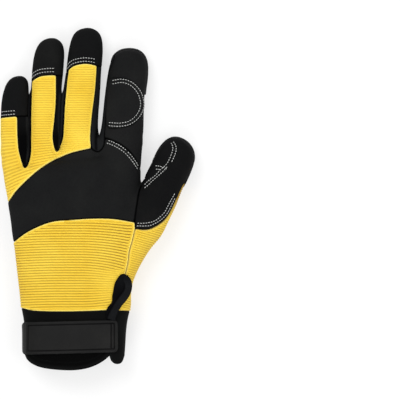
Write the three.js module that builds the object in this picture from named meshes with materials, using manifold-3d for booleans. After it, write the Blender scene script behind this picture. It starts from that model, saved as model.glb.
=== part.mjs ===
// Chainsaw glove for the left hand, lying palm down on a flat surface.
// Millimetres, +Z up, fingers toward +Y, thumb toward +X, origin under the middle of the glove.
import * as THREE from 'three';
import { mergeVertices } from 'three/addons/utils/BufferGeometryUtils.js';
import Module from 'manifold-3d';

const wasm = await Module();
wasm.setup();

// Driving dimensions
const WALL = 2.0;
const CUFF_WALL = 2.4;
const GAP = 0.3;
const PATCH_THICKNESS = 1.7;
const TIP_THICKNESS = 1.2;
const STRAP_THICKNESS = 2.2;
const STRAP_FIELD_DEPTH = 0.7;
const STRAP_RIM = 2.1;
const LOOP_THICKNESS = 2.6;
const SIDE_SEAM_Z = 11;
const STRAP_LOW_Z = 14;
const HEM_HEIGHT = 5.5;
const FLAP_SLIT_X = 9.3;
const FLAP_TOP_Y = -79.2;
const PALM_PATCH_HIGH = 10;
const THUMB_CAP_HIGH = 14;
const REST_Z = GAP + PATCH_THICKNESS;

// Places outside the sheet, where the outlines of panels close
const FAR = 200;
const HIGH = 60;
const ABOVE_TIPS = 130;
const ABOVE_THUMB = 60;
const BELOW_WRIST = -90;
const CUT_PAST = 1;

// How finely the round bodies are made
const OUTER_SIDES = { digit: 14, palm: 20 };
const INNER_SIDES = { digit: 8, palm: 12 };
const FINGER_POWER = 2.4;
const PALM_POWER = 2.9;
const TIP_ROWS = 3;
const TIP_REACH = 0.5;

// Turns a header and plain rows into rows with named columns.
function table(columns, rows) {
  return rows.map((row) => Object.fromEntries(columns.map((name, i) => [name, row[i]])));
}

const FINGER_COLUMNS = ['y', 'left', 'right', 'floor', 'top'];

const PINKY = table(FINGER_COLUMNS, [
  [6, -65.5, -46.5, REST_Z, 21],
  [22, -68, -47.9, REST_Z, 20.5],
  [28, -68.9, -50, REST_Z, 20],
  [58, -69.4, -49.7, REST_Z, 19],
  [73, -68.2, -49.2, REST_Z, 18.5],
  [80, -66, -49.4, 2.3, 18],
  [84.5, -63.2, -50, 3.2, 16.6],
  [86.9, -59.5, -52.4, 5.6, 13.8],
]);

const RING = table(FINGER_COLUMNS, [
  [6, -50, -25, REST_Z, 23],
  [22, -51, -25, REST_Z, 23],
  [38, -48.8, -26.9, REST_Z, 22],
  [56, -48.4, -27.1, REST_Z, 21.5],
  [73, -47.9, -26.2, REST_Z, 21],
  [100, -45.8, -23.9, REST_Z, 20],
  [108, -43.4, -24.2, 2.5, 19],
  [112, -40.4, -26.2, 3.6, 17],
  [114.1, -36.2, -29.2, 6.2, 14],
]);

const MIDDLE = table(FINGER_COLUMNS, [
  [6, -28, 2, REST_Z, 24.5],
  [30, -28.5, 3, REST_Z, 24],
  [40, -26.3, 2.6, REST_Z, 23.5],
  [46, -26.1, 0.6, REST_Z, 23],
  [57, -25.7, 0.4, REST_Z, 23],
  [73, -25, 1.6, REST_Z, 22.5],
  [90, -22.6, 2.5, REST_Z, 22],
  [107, -20.4, 3.8, REST_Z, 21],
  [115, -18.2, 2.8, 2.5, 20],
  [119.4, -15.2, 0.2, 3.8, 17.8],
  [121.4, -10.6, -3.8, 6.6, 14.4],
]);

const INDEX = table(FINGER_COLUMNS, [
  [0, 0, 31, REST_Z, 26],
  [22, -0.5, 31.5, REST_Z, 25.5],
  [40, -0.8, 32.3, REST_Z, 25],
  [46, 1.8, 32.5, REST_Z, 24.5],
  [73, 5.2, 33.4, REST_Z, 23.5],
  [88, 7.2, 35.2, REST_Z, 23],
  [97, 9.2, 34.9, REST_Z, 22],
  [102.5, 12.4, 32.6, 3.2, 20.3],
  [105.8, 17.2, 28.2, 5.8, 16.6],
]);

const SLANTED_COLUMNS = ['leftX', 'leftY', 'rightX', 'rightY', 'floor', 'top'];

const THUMB = table(SLANTED_COLUMNS, [
  [2, -52, 23.4, -64, 3.5, 29],
  [7.5, -37, 29.4, -50, 3, 30],
  [8, -21.4, 37.5, -36.6, 3, 30],
  [13.5, -10, 45.4, -27, 3, 30],
  [19.5, 1.2, 51.4, -14.9, 3, 29],
  [29.6, 8.7, 56.1, -4.9, 3, 28],
  [33.9, 17.3, 60.4, 5.9, 2.6, 27],
  [38.9, 25.9, 64.3, 13.7, 2.2, 26],
  [43.2, 34.4, 68.2, 23, 2.2, 25],
  [46.8, 39.4, 69.6, 29.4, 2.6, 23.5],
  [51.1, 42.8, 68, 36, 3.8, 21.2],
  [55.6, 44.2, 63.9, 40.8, 6.4, 17.4],
]);

const PALM = table(SLANTED_COLUMNS, [
  [-51.6, -130, 18.6, -130, REST_Z, 32],
  [-52.2, -108, 19.8, -108, REST_Z, 32],
  [-52.6, -88, 21.4, -88, REST_Z, 31],
  [-54.6, -77, 23.9, -77, REST_Z, 31],
  [-55.5, -67, 23.9, -67, REST_Z, 32],
  [-56.9, -55, 26.2, -55, REST_Z, 33],
  [-58.8, -38, 28, -38, REST_Z, 34],
  [-61.1, -21, 29.2, -21, REST_Z, 34],
  [-63.5, -4, 30.4, -4, REST_Z, 34],
  [-65.8, 8, 31, 10, REST_Z, 33],
  [-66.8, 14, 31.3, 22, REST_Z, 31],
  [-67.6, 20, 31.6, 32, REST_Z, 26],
]);

// Seam lines of the back, each point a place where the seam turns.
const POINT_COLUMNS = ['x', 'y'];

const PINKY_RING_FOURCHETTE = table(POINT_COLUMNS, [
  [-57.6, 66], [-57.1, 56], [-56.8, 43], [-55.6, 32.5], [-51.4, 21.5],
  [-48.1, 28.5], [-47.4, 43], [-47.3, 60], [-46.9, 75], [-46.6, 90],
]);

const RING_MIDDLE_FOURCHETTE = table(POINT_COLUMNS, [
  [-29.4, 94], [-29.5, 69], [-30.6, 55], [-31.6, 42], [-29, 33.4],
  [-25, 41.4], [-24, 52], [-23.3, 65], [-21.8, 82], [-20.2, 96],
]);

const MIDDLE_INDEX_FOURCHETTE = table(POINT_COLUMNS, [
  [-0.2, 98], [-1.4, 77.5], [-3.6, 59.5], [-4.8, 41.5], [-3.4, 35], [0.6, 33.2], [4.4, 37],
  [5.2, 47], [6.4, 60], [8, 74], [9.8, 90], [13.2, 101],
]);

const TIP_SEAMS = {
  pinky: table(POINT_COLUMNS, [[-74, 58.6], [-57, 59], [-48.75, 59.2]]),
  ring: table(POINT_COLUMNS, [[-48, 86], [-38, 90.5], [-30, 90.5], [-24, 89.5]]),
  middle: table(POINT_COLUMNS, [[-22.6, 92.6], [-11.5, 97.5], [-1, 95.8], [4, 94.5]]),
};

const UPPER_BACK_SEAM = table(POINT_COLUMNS, [
  [-4.8, 35.4], [-18.6, 32.2], [-28.6, 28.1], [-39.6, 21.8], [-48.7, 14],
  [-57.8, 4.8], [-63, -2], [-74, -13],
]);

// Where the middle finger's yellow strip ends, beside its black side
const MIDDLE_SIDE = { x: 2, y: 92 };

const INDEX_BASE_SEAM = table(POINT_COLUMNS, [
  [3, 43.6], [10, 41.6], [17, 38.2], [23.3, 33.1], [27.9, 26.8], [31, 21.4], [36, 18.6],
]);

const LOWER_BACK_SEAM = table(POINT_COLUMNS, [
  [-72, -40], [-58.2, -30.2], [-51.6, -25.3], [-42.3, -20.4], [-31.4, -16.6],
  [-18.6, -15.4], [-1.3, -14.4], [12.4, -14.8], [26.9, -17.2],
]);

const THUMB_ROOT_SEAM = table(POINT_COLUMNS, [
  [34, 12.5], [30.4, 6.4], [28.2, -5.4], [26.9, -15.7], [27, -22],
]);

const THUMB_LOWER_SEAM = table(POINT_COLUMNS, [
  [27, -22], [37.1, -22.1], [46.1, -17.4], [50.1, -13.2], [53.4, -7.5], [56.6, -0.5],
  [61, 9], [70, 22],
]);

const GUSSET_BACK_SEAM = table(POINT_COLUMNS, [
  [27, -22], [25.1, -30], [22.9, -38], [21.9, -46.2], [20, -54], [15.6, -64.5], [10.6, -80.6],
]);

const GUSSET_PALM_SEAM = table(POINT_COLUMNS, [
  [61, 12], [51.1, 0], [45.4, -11.3], [36.8, -24.1], [23.5, -38.4],
  [13.2, -51.3], [9.2, -61.7], [8.4, -71], [7.5, -82.5],
]);

const CUFF_BACK_SEAM = table(POINT_COLUMNS, [
  [-66, -75], [-54.6, -76.3], [-46.9, -79.5], [-24.1, -80.6], [-1.3, -79.6], [10, -79], [36, -79.4],
]);

const CUFF_PALM_SEAM = table(POINT_COLUMNS, [
  [-66, -74], [-53.9, -78.1], [-38.9, -84.1], [-24.3, -85.1], [-9.2, -83.6], [3.2, -81.3],
  [18.9, -79], [36, -78],
]);

const CUFF_END = table(POINT_COLUMNS, [
  [-60, -101], [-52.6, -110], [-49.6, -115.4], [-41.8, -119.7], [-21, -122.2], [-1.1, -119.9],
  [6, -115.8], [12, -113.4], [20, -108], [30, -101],
]);

const FLAP_END = table(POINT_COLUMNS, [
  [FLAP_SLIT_X, -112], [11, -116], [14.6, -118.2], [17.8, -117.2], [20.4, -111], [30, -100],
]);

// Outlines of the sewn-on patches
const KNUCKLE_PATCH = table(POINT_COLUMNS, [
  [8.9, 84.4], [17.8, 85.8], [25.5, 83.2], [30.6, 77.3], [32.4, 70.5], [32.2, 63.4],
  [29.8, 57], [24.4, 52], [17, 50], [7.8, 50.4], [6.9, 58], [7.6, 72],
]);

const UPPER_PALM_PATCH = table(POINT_COLUMNS, [
  [-60, -3.5], [-54.8, -8.4], [-43.6, -5.3], [-21.9, 1.9], [8, 7], [31, 11], [31.6, 29.5], [30.6, 48],
  [24, 48.6], [16, 41.4], [12.6, 31], [7.5, 24], [0, 25], [-3.9, 34], [-5, 43], [-9.4, 45.8], [-14.2, 41],
  [-14.8, 30], [-20, 24.2], [-27.2, 28], [-28.9, 36.5], [-33.6, 41.7], [-38.3, 36], [-40.4, 24],
  [-46, 11.6], [-54, 4.4],
]);

const HOOK_COLUMNS = ['x', 'y', 'half'];

const HOOK_PATCH = table(HOOK_COLUMNS, [
  [-2.6, -8.6, 5.2],
  [-15, -11, 8],
  [-30, -16.4, 8.6],
  [-43, -25, 8.6],
  [-50.6, -37, 7],
  [-47.6, -49, 7],
  [-37.5, -55.6, 8.2],
  [-24, -53.4, 11],
  [-9, -46.6, 13.6],
  [5.8, -36.6, 13],
]);

const CROTCH_PATCH = table(POINT_COLUMNS, [
  [28.2, 8], [20.7, 6.6], [12.2, 3.4], [8, -1.3], [7.8, -8.4], [12, -14.6], [19.6, -17.4], [28.2, -13.4],
]);

const FINGERTIP_COLUMNS = ['name', 'left', 'right', 'start', 'high'];

const FINGERTIP_PATCHES = table(FINGERTIP_COLUMNS, [
  ['pinky', -67.2, -50.8, 54.4, 9],
  ['ring', -45.8, -27.4, 79.4, 9],
  ['middle', -21.6, -0.6, 83, 9],
  ['index', 9.6, 40, 74, 14],
]);

const THUMB_CAP_EDGE = table(POINT_COLUMNS, [
  [36, 28.6], [40.2, 25.3], [44.4, 18.4], [51, 11.6], [60.8, 6.4], [66, 4.4], [80, 0],
]);

const STRAP = { left: -54.6, right: 14.6, low: -111.3, high: -87.3, corner: 3 };

const LOOP_OUTLINE = table(POINT_COLUMNS, [
  [18.4, -54.2], [23.4, -59.4], [24, -65.4], [20.6, -74], [15.6, -80.4], [12.4, -85.9],
  [6.2, -85.9], [7.6, -80.4], [10.4, -74], [11, -65.4], [13.8, -59],
]);

const LOOP_HOLE = { x: 17.2, y: -65.4, half: 1.6, reach: 6.5, lean: 0.22, endShare: 0.2 };

const corner = (x, y) => new THREE.Vector2(x, y);

// Points along a smooth line through the rows of a point table.
function smoothLine(rows, { steps = 2, closed = false } = {}) {
  const curve = new THREE.CatmullRomCurve3(
    rows.map(({ x, y }) => new THREE.Vector3(x, y, 0)), closed, 'centripetal');
  const spans = closed ? rows.length : rows.length - 1;
  const points = curve.getPoints(spans * steps).map(({ x, y }) => new THREE.Vector2(x, y));
  return closed ? points.slice(0, -1) : points;
}

// The region between a seam and a height above or below it.
function regionTo(y, seam) {
  const line = smoothLine(seam);
  return [...line, corner(line.at(-1).x, y), corner(line[0].x, y)];
}

// The region to the right of a seam that runs down to the wrist, and below another line where one is given.
function regionRightOf(seam, ceiling = [{ x: FAR, y: seam[0].y }]) {
  const line = smoothLine(seam);
  const upper = ceiling.length > 1 ? smoothLine(ceiling) : [corner(ceiling[0].x, ceiling[0].y)];
  return [
    ...line, corner(line.at(-1).x, BELOW_WRIST), corner(FAR, BELOW_WRIST), corner(FAR, upper.at(-1).y),
    ...upper.reverse(),
  ];
}

// Moves every point of a closed outline outwards by the distance given.
function growOutline(points, distance) {
  const side = THREE.ShapeUtils.isClockWise(points) ? -1 : 1;
  return points.map((point, i) => {
    const before = points[(i + points.length - 1) % points.length];
    const after = points[(i + 1) % points.length];
    const first = new THREE.Vector2(point.y - before.y, before.x - point.x).normalize();
    const second = new THREE.Vector2(after.y - point.y, point.x - after.x).normalize();
    const normal = first.clone().add(second).normalize();
    const stretch = 1 / Math.max(normal.dot(first), 0.5);
    return point.clone().addScaledVector(normal, side * distance * stretch);
  });
}

// An outline of changing width along a centre line, with a round end at each side.
function strokeOutline(rows, steps = 2) {
  const curve = new THREE.CatmullRomCurve3(
    rows.map(({ x, y, half }) => new THREE.Vector3(x, y, half)), false, 'centripetal');
  const centres = curve.getPoints((rows.length - 1) * steps);
  const normals = centres.map((_, i) => {
    const tangent = curve.getTangent(i / (centres.length - 1));
    return new THREE.Vector2(-tangent.y, tangent.x).normalize();
  });
  const offset = (i, angle) => {
    const turned = normals[i].clone().rotateAround(new THREE.Vector2(), angle);
    return new THREE.Vector2(centres[i].x, centres[i].y).addScaledVector(turned, centres[i].z);
  };
  const last = centres.length - 1;
  const arc = [0, 0.2, 0.4, 0.6, 0.8, 1].map((share) => share * Math.PI);
  const leftSide = centres.map((_, i) => offset(i, 0)).slice(1, -1);
  const rightSide = centres.map((_, i) => offset(i, Math.PI)).slice(1, -1).reverse();
  const farEnd = arc.map((angle) => offset(last, -angle));
  const nearEnd = arc.map((angle) => offset(0, Math.PI - angle));
  return [...leftSide, ...farEnd, ...rightSide, ...nearEnd];
}

// A closed solid from a geometry, with its shared corners merged.
function solidOf(geometry) {
  geometry.deleteAttribute('normal');
  geometry.deleteAttribute('uv');
  const merged = mergeVertices(geometry, 1e-4);
  return new wasm.Manifold(new wasm.Mesh({
    numProp: 3,
    vertProperties: Float32Array.from(merged.attributes.position.array),
    triVerts: Uint32Array.from(merged.index.array),
  }));
}

// An upright block over a closed outline, from one height to another.
function prism(points, low, high) {
  const shape = new THREE.Shape(points);
  const geometry = new THREE.ExtrudeGeometry(shape, { depth: high - low, bevelEnabled: false });
  geometry.translate(0, 0, low);
  return solidOf(geometry);
}

// A round-cornered section as shares of its half width and half height, flat at its four sides.
function sectionShares(sides, power) {
  const shares = Array.from({ length: sides }, (_, i) => {
    const angle = ((i + 0.5) / sides) * 2 * Math.PI;
    const bend = (value) => Math.sign(value) * Math.abs(value) ** (2 / power);
    return new THREE.Vector2(bend(Math.cos(angle)), bend(Math.sin(angle)));
  });
  const widest = Math.max(...shares.map(({ x }) => x));
  const highest = Math.max(...shares.map(({ y }) => y));
  return shares.map(({ x, y }) => new THREE.Vector2(x / widest, y / highest));
}

// The frame of one section: its middle, its half width along its own line, and its half height.
function sectionFrame({ y, left, right, leftX = left, leftY = y, rightX = right, rightY = y, floor, top }) {
  const start = new THREE.Vector3(leftX, leftY, 0);
  const end = new THREE.Vector3(rightX, rightY, 0);
  return {
    middle: start.clone().add(end).multiplyScalar(0.5).setZ((floor + top) / 2),
    across: end.clone().sub(start).normalize(),
    half: start.distanceTo(end) / 2,
    rise: (top - floor) / 2,
  };
}

// A closed body through the sections of a table. grow moves its surface out, or in when it is negative, and
// a round tip moves along the body as much as it moves across it.
function loft(rows, { grow = 0, sides, power, roundTip }) {
  const shares = sectionShares(sides, power);
  const frames = rows.map(sectionFrame);
  const tipStart = frames.length - TIP_ROWS - 1;
  const rings = frames.map((frame, i) => {
    const along = new THREE.Vector3(-frame.across.y, frame.across.x, 0);
    const ratio = roundTip && i > tipStart ? Math.min(1, frame.half / frames[tipStart].half) : 1;
    const isEnd = i === 0 || (!roundTip && i === frames.length - 1);
    const slide = isEnd ? Math.sign(i - 0.5) * grow : grow * Math.sqrt(1 - ratio * ratio);
    const middle = frame.middle.clone().addScaledVector(along, slide);
    return {
      middle,
      along,
      points: shares.map(({ x, y }) => middle.clone()
        .addScaledVector(frame.across, x * (frame.half + grow * ratio))
        .add(new THREE.Vector3(0, 0, y * (frame.rise + grow * ratio)))),
    };
  });
  const lastRing = rings[rings.length - 1];
  const apex = lastRing.middle.clone().addScaledVector(lastRing.along, roundTip ? TIP_REACH : 0);
  const corners = [...rings.flatMap(({ points }) => points), rings[0].middle, apex];
  const indices = [];
  const apexIndex = corners.length - 1;
  for (let side = 0; side < sides; side += 1) {
    const next = (side + 1) % sides;
    for (let i = 0; i < rings.length - 1; i += 1) {
      const low = i * sides;
      const high = low + sides;
      indices.push(low + side, high + side, low + next, low + next, high + side, high + next);
    }
    const lastLow = (rings.length - 1) * sides;
    indices.push(apexIndex - 1, side, next, apexIndex, lastLow + next, lastLow + side);
  }
  const geometry = new THREE.BufferGeometry();
  geometry.setAttribute('position', new THREE.Float32BufferAttribute(corners.flatMap((p) => p.toArray()), 3));
  geometry.setIndex(indices);
  return solidOf(geometry);
}

const DIGITS = { pinky: PINKY, ring: RING, middle: MIDDLE, index: INDEX, thumb: THUMB };

function digitBody(name, grow, sides = OUTER_SIDES) {
  return loft(DIGITS[name], { grow, sides: sides.digit, power: FINGER_POWER, roundTip: true });
}

function palmBody(grow, sides = OUTER_SIDES) {
  return loft(PALM, { grow, sides: sides.palm, power: PALM_POWER, roundTip: false });
}

// The whole hand, grown outwards or inwards.
function handBody(grow, sides = OUTER_SIDES) {
  return Object.keys(DIGITS)
    .map((name) => digitBody(name, grow, sides))
    .reduce((whole, digit) => whole.add(digit), palmBody(grow, sides));
}

// A wrap-around cutter: one outline above the side seam and another below it.
function wrapCutter(backOutline, palmOutline, grow) {
  return prism(growOutline(backOutline, grow), SIDE_SEAM_Z - grow, HIGH)
    .add(prism(growOutline(palmOutline, grow), -HIGH, SIDE_SEAM_Z + grow));
}

// Cuts a panel out of the sheet and leaves the seam gap around it.
function claim(sheet, outline) {
  return {
    panel: sheet.intersect(prism(outline, -HIGH, HIGH)),
    rest: sheet.subtract(prism(growOutline(outline, GAP), -HIGH, HIGH)),
  };
}

const pieces = {};

// The hollow shell, with the cuff's part of it a little thicker
const outer = handBody(0);
const shell = outer.subtract(handBody(-WALL, INNER_SIDES));
const cuffSheet = palmBody(0).subtract(palmBody(-CUFF_WALL, INNER_SIDES));

// The cuff runs all round below the wrist seam
const cuffBack = [...smoothLine(CUFF_BACK_SEAM), ...smoothLine(CUFF_END).reverse()];
const cuffPalm = [...smoothLine(CUFF_PALM_SEAM), ...smoothLine(CUFF_END).reverse()];
const cuffRing = cuffSheet.intersect(wrapCutter(cuffBack, cuffPalm, 0));
const belowWrist = wrapCutter(regionTo(-FAR, CUFF_BACK_SEAM), regionTo(-FAR, CUFF_PALM_SEAM), GAP);
const hand = shell.subtract(belowWrist);

// The cuff's hem and its loose flap at the thumb side
const hemTop = CUFF_END.map(({ x, y }) => ({ x, y: y + HEM_HEIGHT }));
const cuffOutline = regionTo(0, hemTop);
const flapCorner = [corner(FLAP_SLIT_X, -FAR), corner(FAR, -FAR), corner(FAR, 0), corner(FLAP_SLIT_X, 0)];
const flapBlock = prism(flapCorner, SIDE_SEAM_Z, HIGH);
const flapClearance = prism(growOutline(flapCorner, GAP), SIDE_SEAM_Z - GAP, HIGH);
const flapOutline = regionTo(FLAP_TOP_Y, FLAP_END);
pieces.cuff = cuffRing.intersect(prism(cuffOutline, -HIGH, HIGH)).subtract(flapClearance);
pieces.cuff_hem = cuffRing.subtract(prism(growOutline(cuffOutline, GAP), -HIGH, HIGH))
  .subtract(flapClearance);
pieces.cuff_flap = cuffSheet.intersect(flapBlock).intersect(prism(flapOutline, -HIGH, HIGH));

// The thumb gusset wraps from the back round to the palm
const gussetBack = regionRightOf(GUSSET_BACK_SEAM, THUMB_LOWER_SEAM);
const gussetPalm = regionRightOf(GUSSET_PALM_SEAM);
pieces.thumb_gusset = hand.intersect(wrapCutter(gussetBack, gussetPalm, 0));
const mainSheet = hand.subtract(wrapCutter(gussetBack, gussetPalm, GAP));

// Palm side and back side
const everywhere = [corner(-FAR, -FAR), corner(FAR, -FAR), corner(FAR, FAR), corner(-FAR, FAR)];
pieces.palm_panel = mainSheet.intersect(prism(everywhere, -HIGH, SIDE_SEAM_Z - GAP / 2));
let back = mainSheet.intersect(prism(everywhere, SIDE_SEAM_Z + GAP / 2, HIGH));

// Each panel of the back takes its outline from what is left of the sheet
const backPanels = [
  ['thumb_back', [
    ...smoothLine(THUMB_ROOT_SEAM), ...smoothLine(THUMB_LOWER_SEAM).slice(1),
    corner(FAR, ABOVE_THUMB), corner(THUMB_ROOT_SEAM[0].x, ABOVE_THUMB),
  ]],
  ['pinky_cap', regionTo(ABOVE_TIPS, TIP_SEAMS.pinky)],
  ['ring_cap', regionTo(ABOVE_TIPS, TIP_SEAMS.ring)],
  ['middle_cap', regionTo(ABOVE_TIPS, TIP_SEAMS.middle)],
  ['pinky_ring_fourchette', smoothLine(PINKY_RING_FOURCHETTE)],
  ['ring_middle_fourchette', smoothLine(RING_MIDDLE_FOURCHETTE)],
  ['middle_index_fourchette', smoothLine(MIDDLE_INDEX_FOURCHETTE)],
  ['index_back', regionTo(ABOVE_TIPS, INDEX_BASE_SEAM)],
  ['back_upper_panel', [
    ...regionTo(ABOVE_TIPS, UPPER_BACK_SEAM), corner(MIDDLE_SIDE.x, MIDDLE_SIDE.y),
  ]],
  ['back_lower_panel', regionTo(BELOW_WRIST, LOWER_BACK_SEAM)],
  ['knuckle_band', everywhere],
];
for (const [name, outline] of backPanels) {
  const { panel, rest } = claim(back, outline);
  pieces[name] = panel;
  back = rest;
}

// Sewn-on patches lie on the sheet
const palmPatchLayer = handBody(REST_Z).subtract(handBody(GAP));
const palmPatches = {
  upper_palm_patch: smoothLine(UPPER_PALM_PATCH, { closed: true }),
  hook_palm_patch: strokeOutline(HOOK_PATCH),
  crotch_palm_patch: smoothLine(CROTCH_PATCH, { closed: true }),
};
for (const [name, outline] of Object.entries(palmPatches)) {
  pieces[name] = palmPatchLayer.intersect(prism(outline, -HIGH, PALM_PATCH_HIGH));
}

function digitLayer(name, thickness) {
  return digitBody(name, GAP + thickness).subtract(digitBody(name, GAP));
}

for (const { name, left, right, start, high } of FINGERTIP_PATCHES) {
  const outline = [corner(left, start), corner(right, start), corner(right, FAR), corner(left, FAR)];
  pieces[`${name}_tip_patch`] = digitLayer(name, TIP_THICKNESS).intersect(prism(outline, -HIGH, high));
}
pieces.thumb_tip_patch = digitLayer('thumb', TIP_THICKNESS)
  .intersect(prism(regionTo(ABOVE_THUMB, THUMB_CAP_EDGE), -HIGH, THUMB_CAP_HIGH));
pieces.index_knuckle_patch = digitLayer('index', TIP_THICKNESS)
  .intersect(prism(smoothLine(KNUCKLE_PATCH, { closed: true }), SIDE_SEAM_Z, HIGH));

// The strap has a raised rim around a sunken field
function roundedBlock({ left, right, low, high, corner: radius }, inset = 0) {
  const shape = [];
  const quarter = [0, 0.5, 1];
  const centres = [
    [right, high, 0], [left, high, 1], [left, low, 2], [right, low, 3],
  ];
  for (const [x, y, turn] of centres) {
    const cx = x - Math.sign(x - (left + right) / 2) * radius;
    const cy = y - Math.sign(y - (low + high) / 2) * radius;
    for (const share of quarter) {
      const angle = (turn + share) * (Math.PI / 2);
      const reach = radius - inset;
      shape.push(corner(cx + reach * Math.cos(angle), cy + reach * Math.sin(angle)));
    }
  }
  return shape;
}

const strapLayer = palmBody(GAP + STRAP_THICKNESS).subtract(palmBody(GAP));
const strapField = palmBody(GAP + STRAP_THICKNESS + CUT_PAST)
  .subtract(palmBody(GAP + STRAP_THICKNESS - STRAP_FIELD_DEPTH))
  .intersect(prism(roundedBlock(STRAP, STRAP_RIM), STRAP_LOW_Z + STRAP_RIM, HIGH));
pieces.cuff_strap = strapLayer
  .intersect(prism(roundedBlock(STRAP), STRAP_LOW_Z, HIGH))
  .subtract(strapField);

// The pull loop is folded tape with a slim hole
const loopHole = [-1, -0.8, -0.4, 0, 0.4, 0.8, 1].flatMap((share) => {
  const half = LOOP_HOLE.half * Math.max(Math.sqrt(1 - share * share), LOOP_HOLE.endShare);
  return [{ share, half: -half }, { share, half }];
});
const holePoint = ({ share, half }) => corner(
  LOOP_HOLE.x + share * LOOP_HOLE.reach * LOOP_HOLE.lean + half,
  LOOP_HOLE.y + share * LOOP_HOLE.reach);
const holeOutline = [
  ...loopHole.filter(({ half }) => half > 0).map(holePoint),
  ...loopHole.filter(({ half }) => half < 0).map(holePoint).reverse(),
];
pieces.pull_loop = palmBody(GAP + LOOP_THICKNESS).subtract(palmBody(GAP))
  .intersect(prism(smoothLine(LOOP_OUTLINE, { closed: true }), STRAP_LOW_Z, HIGH))
  .subtract(prism(holeOutline, -HIGH, HIGH));

// Finishes
const finish = (color, roughness) => ({ color, roughness, metalness: 0 });
const YELLOW_KNIT = finish(0xe9c048, 0.85);
const BLACK_LEATHER = finish(0x232424, 0.6);
const BLACK_KNIT = finish(0x1b1b1d, 0.9);
const PATCH_SUEDE = finish(0x3a3b3c, 0.75);
const GLOSSY_PATCH = finish(0x5c5f60, 0.35);
const SATIN_RUBBER = finish(0x262626, 0.45);

const FINISHES = {
  palm_panel: BLACK_LEATHER,
  back_upper_panel: YELLOW_KNIT,
  back_lower_panel: YELLOW_KNIT,
  thumb_gusset: YELLOW_KNIT,
  knuckle_band: BLACK_LEATHER,
  index_back: BLACK_LEATHER,
  thumb_back: BLACK_LEATHER,
  pinky_cap: BLACK_LEATHER,
  ring_cap: BLACK_LEATHER,
  middle_cap: BLACK_LEATHER,
  pinky_ring_fourchette: BLACK_KNIT,
  ring_middle_fourchette: BLACK_KNIT,
  middle_index_fourchette: BLACK_KNIT,
  upper_palm_patch: PATCH_SUEDE,
  hook_palm_patch: PATCH_SUEDE,
  crotch_palm_patch: PATCH_SUEDE,
  pinky_tip_patch: PATCH_SUEDE,
  ring_tip_patch: PATCH_SUEDE,
  middle_tip_patch: PATCH_SUEDE,
  index_tip_patch: GLOSSY_PATCH,
  thumb_tip_patch: GLOSSY_PATCH,
  index_knuckle_patch: BLACK_LEATHER,
  cuff: BLACK_KNIT,
  cuff_hem: BLACK_KNIT,
  cuff_flap: BLACK_KNIT,
  cuff_strap: SATIN_RUBBER,
  pull_loop: SATIN_RUBBER,
};

function meshOf(name) {
  const { vertProperties, triVerts } = pieces[name].getMesh();
  const geometry = new THREE.BufferGeometry();
  geometry.setAttribute('position', new THREE.BufferAttribute(vertProperties, 3));
  geometry.setIndex(new THREE.BufferAttribute(triVerts, 1));
  const mesh = new THREE.Mesh(geometry, new THREE.MeshStandardMaterial(FINISHES[name]));
  mesh.name = name;
  return mesh;
}

// The origin sits under the middle of the glove's box
const glove = new THREE.Group();
glove.add(...Object.keys(FINISHES).map(meshOf));
const box = new THREE.Box3().setFromObject(glove);
const centre = box.getCenter(new THREE.Vector3());
glove.position.set(-centre.x, -centre.y, -box.min.z);

export default glove;
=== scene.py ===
"""Left-hand chainsaw glove, palm down: leather, ribbed knit, padded palm, moulded strap and pull loop.

Lengths in this file are millimetres in the glove's own drawing, and to_frame makes them metres of the frame.
"""
import logging
import math
from collections.abc import Callable, Iterable, Sequence
from dataclasses import dataclass, field
from enum import Enum

import bpy
import numpy as np
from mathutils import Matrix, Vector
from mathutils.bvhtree import BVHTree

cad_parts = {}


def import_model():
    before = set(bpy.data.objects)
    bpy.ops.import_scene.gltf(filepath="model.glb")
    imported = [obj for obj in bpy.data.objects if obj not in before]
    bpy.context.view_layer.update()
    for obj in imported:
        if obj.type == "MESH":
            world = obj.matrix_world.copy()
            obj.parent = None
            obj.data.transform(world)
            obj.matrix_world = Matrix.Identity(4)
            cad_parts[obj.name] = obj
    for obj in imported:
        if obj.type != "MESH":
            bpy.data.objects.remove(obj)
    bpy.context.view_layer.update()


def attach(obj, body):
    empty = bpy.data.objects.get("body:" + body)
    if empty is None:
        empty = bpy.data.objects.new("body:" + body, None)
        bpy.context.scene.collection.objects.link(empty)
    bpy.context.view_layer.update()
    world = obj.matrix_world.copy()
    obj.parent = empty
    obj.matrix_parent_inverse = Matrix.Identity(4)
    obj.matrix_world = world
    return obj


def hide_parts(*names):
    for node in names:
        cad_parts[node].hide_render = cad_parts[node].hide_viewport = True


LOG = logging.getLogger("glove")

MM = 0.001
FRAME_SHIFT = np.array([-0.850, -0.483, 0.0])

# Sizes of the sheet, shared with the solids
WALL = 2.0
CUFF_WALL = 2.4
GAP = 0.3
PATCH_THICKNESS = 1.7
TIP_THICKNESS = 1.2
SIDE_SEAM_Z = 11.0
REST_Z = GAP + PATCH_THICKNESS
FINGER_POWER = 2.4
PALM_POWER = 2.9

# Places beyond the glove: past the fingertips, on every side and above it
ABOVE_TIPS = 130.0
FAR = 200.0
OVER_ALL = 80.0

# The height over which the palm's seam lines turn into the back's, and how far a sheet is cut back
SIDE_BLEND = 2.0
SEAM_MARGIN = 0.1

# The distance of a corner that isn't on a panel's finger, and the edge value far from any edge
NOWHERE = -50.0
INNER = 9.0

Table = Sequence[tuple[float, ...]]

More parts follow.
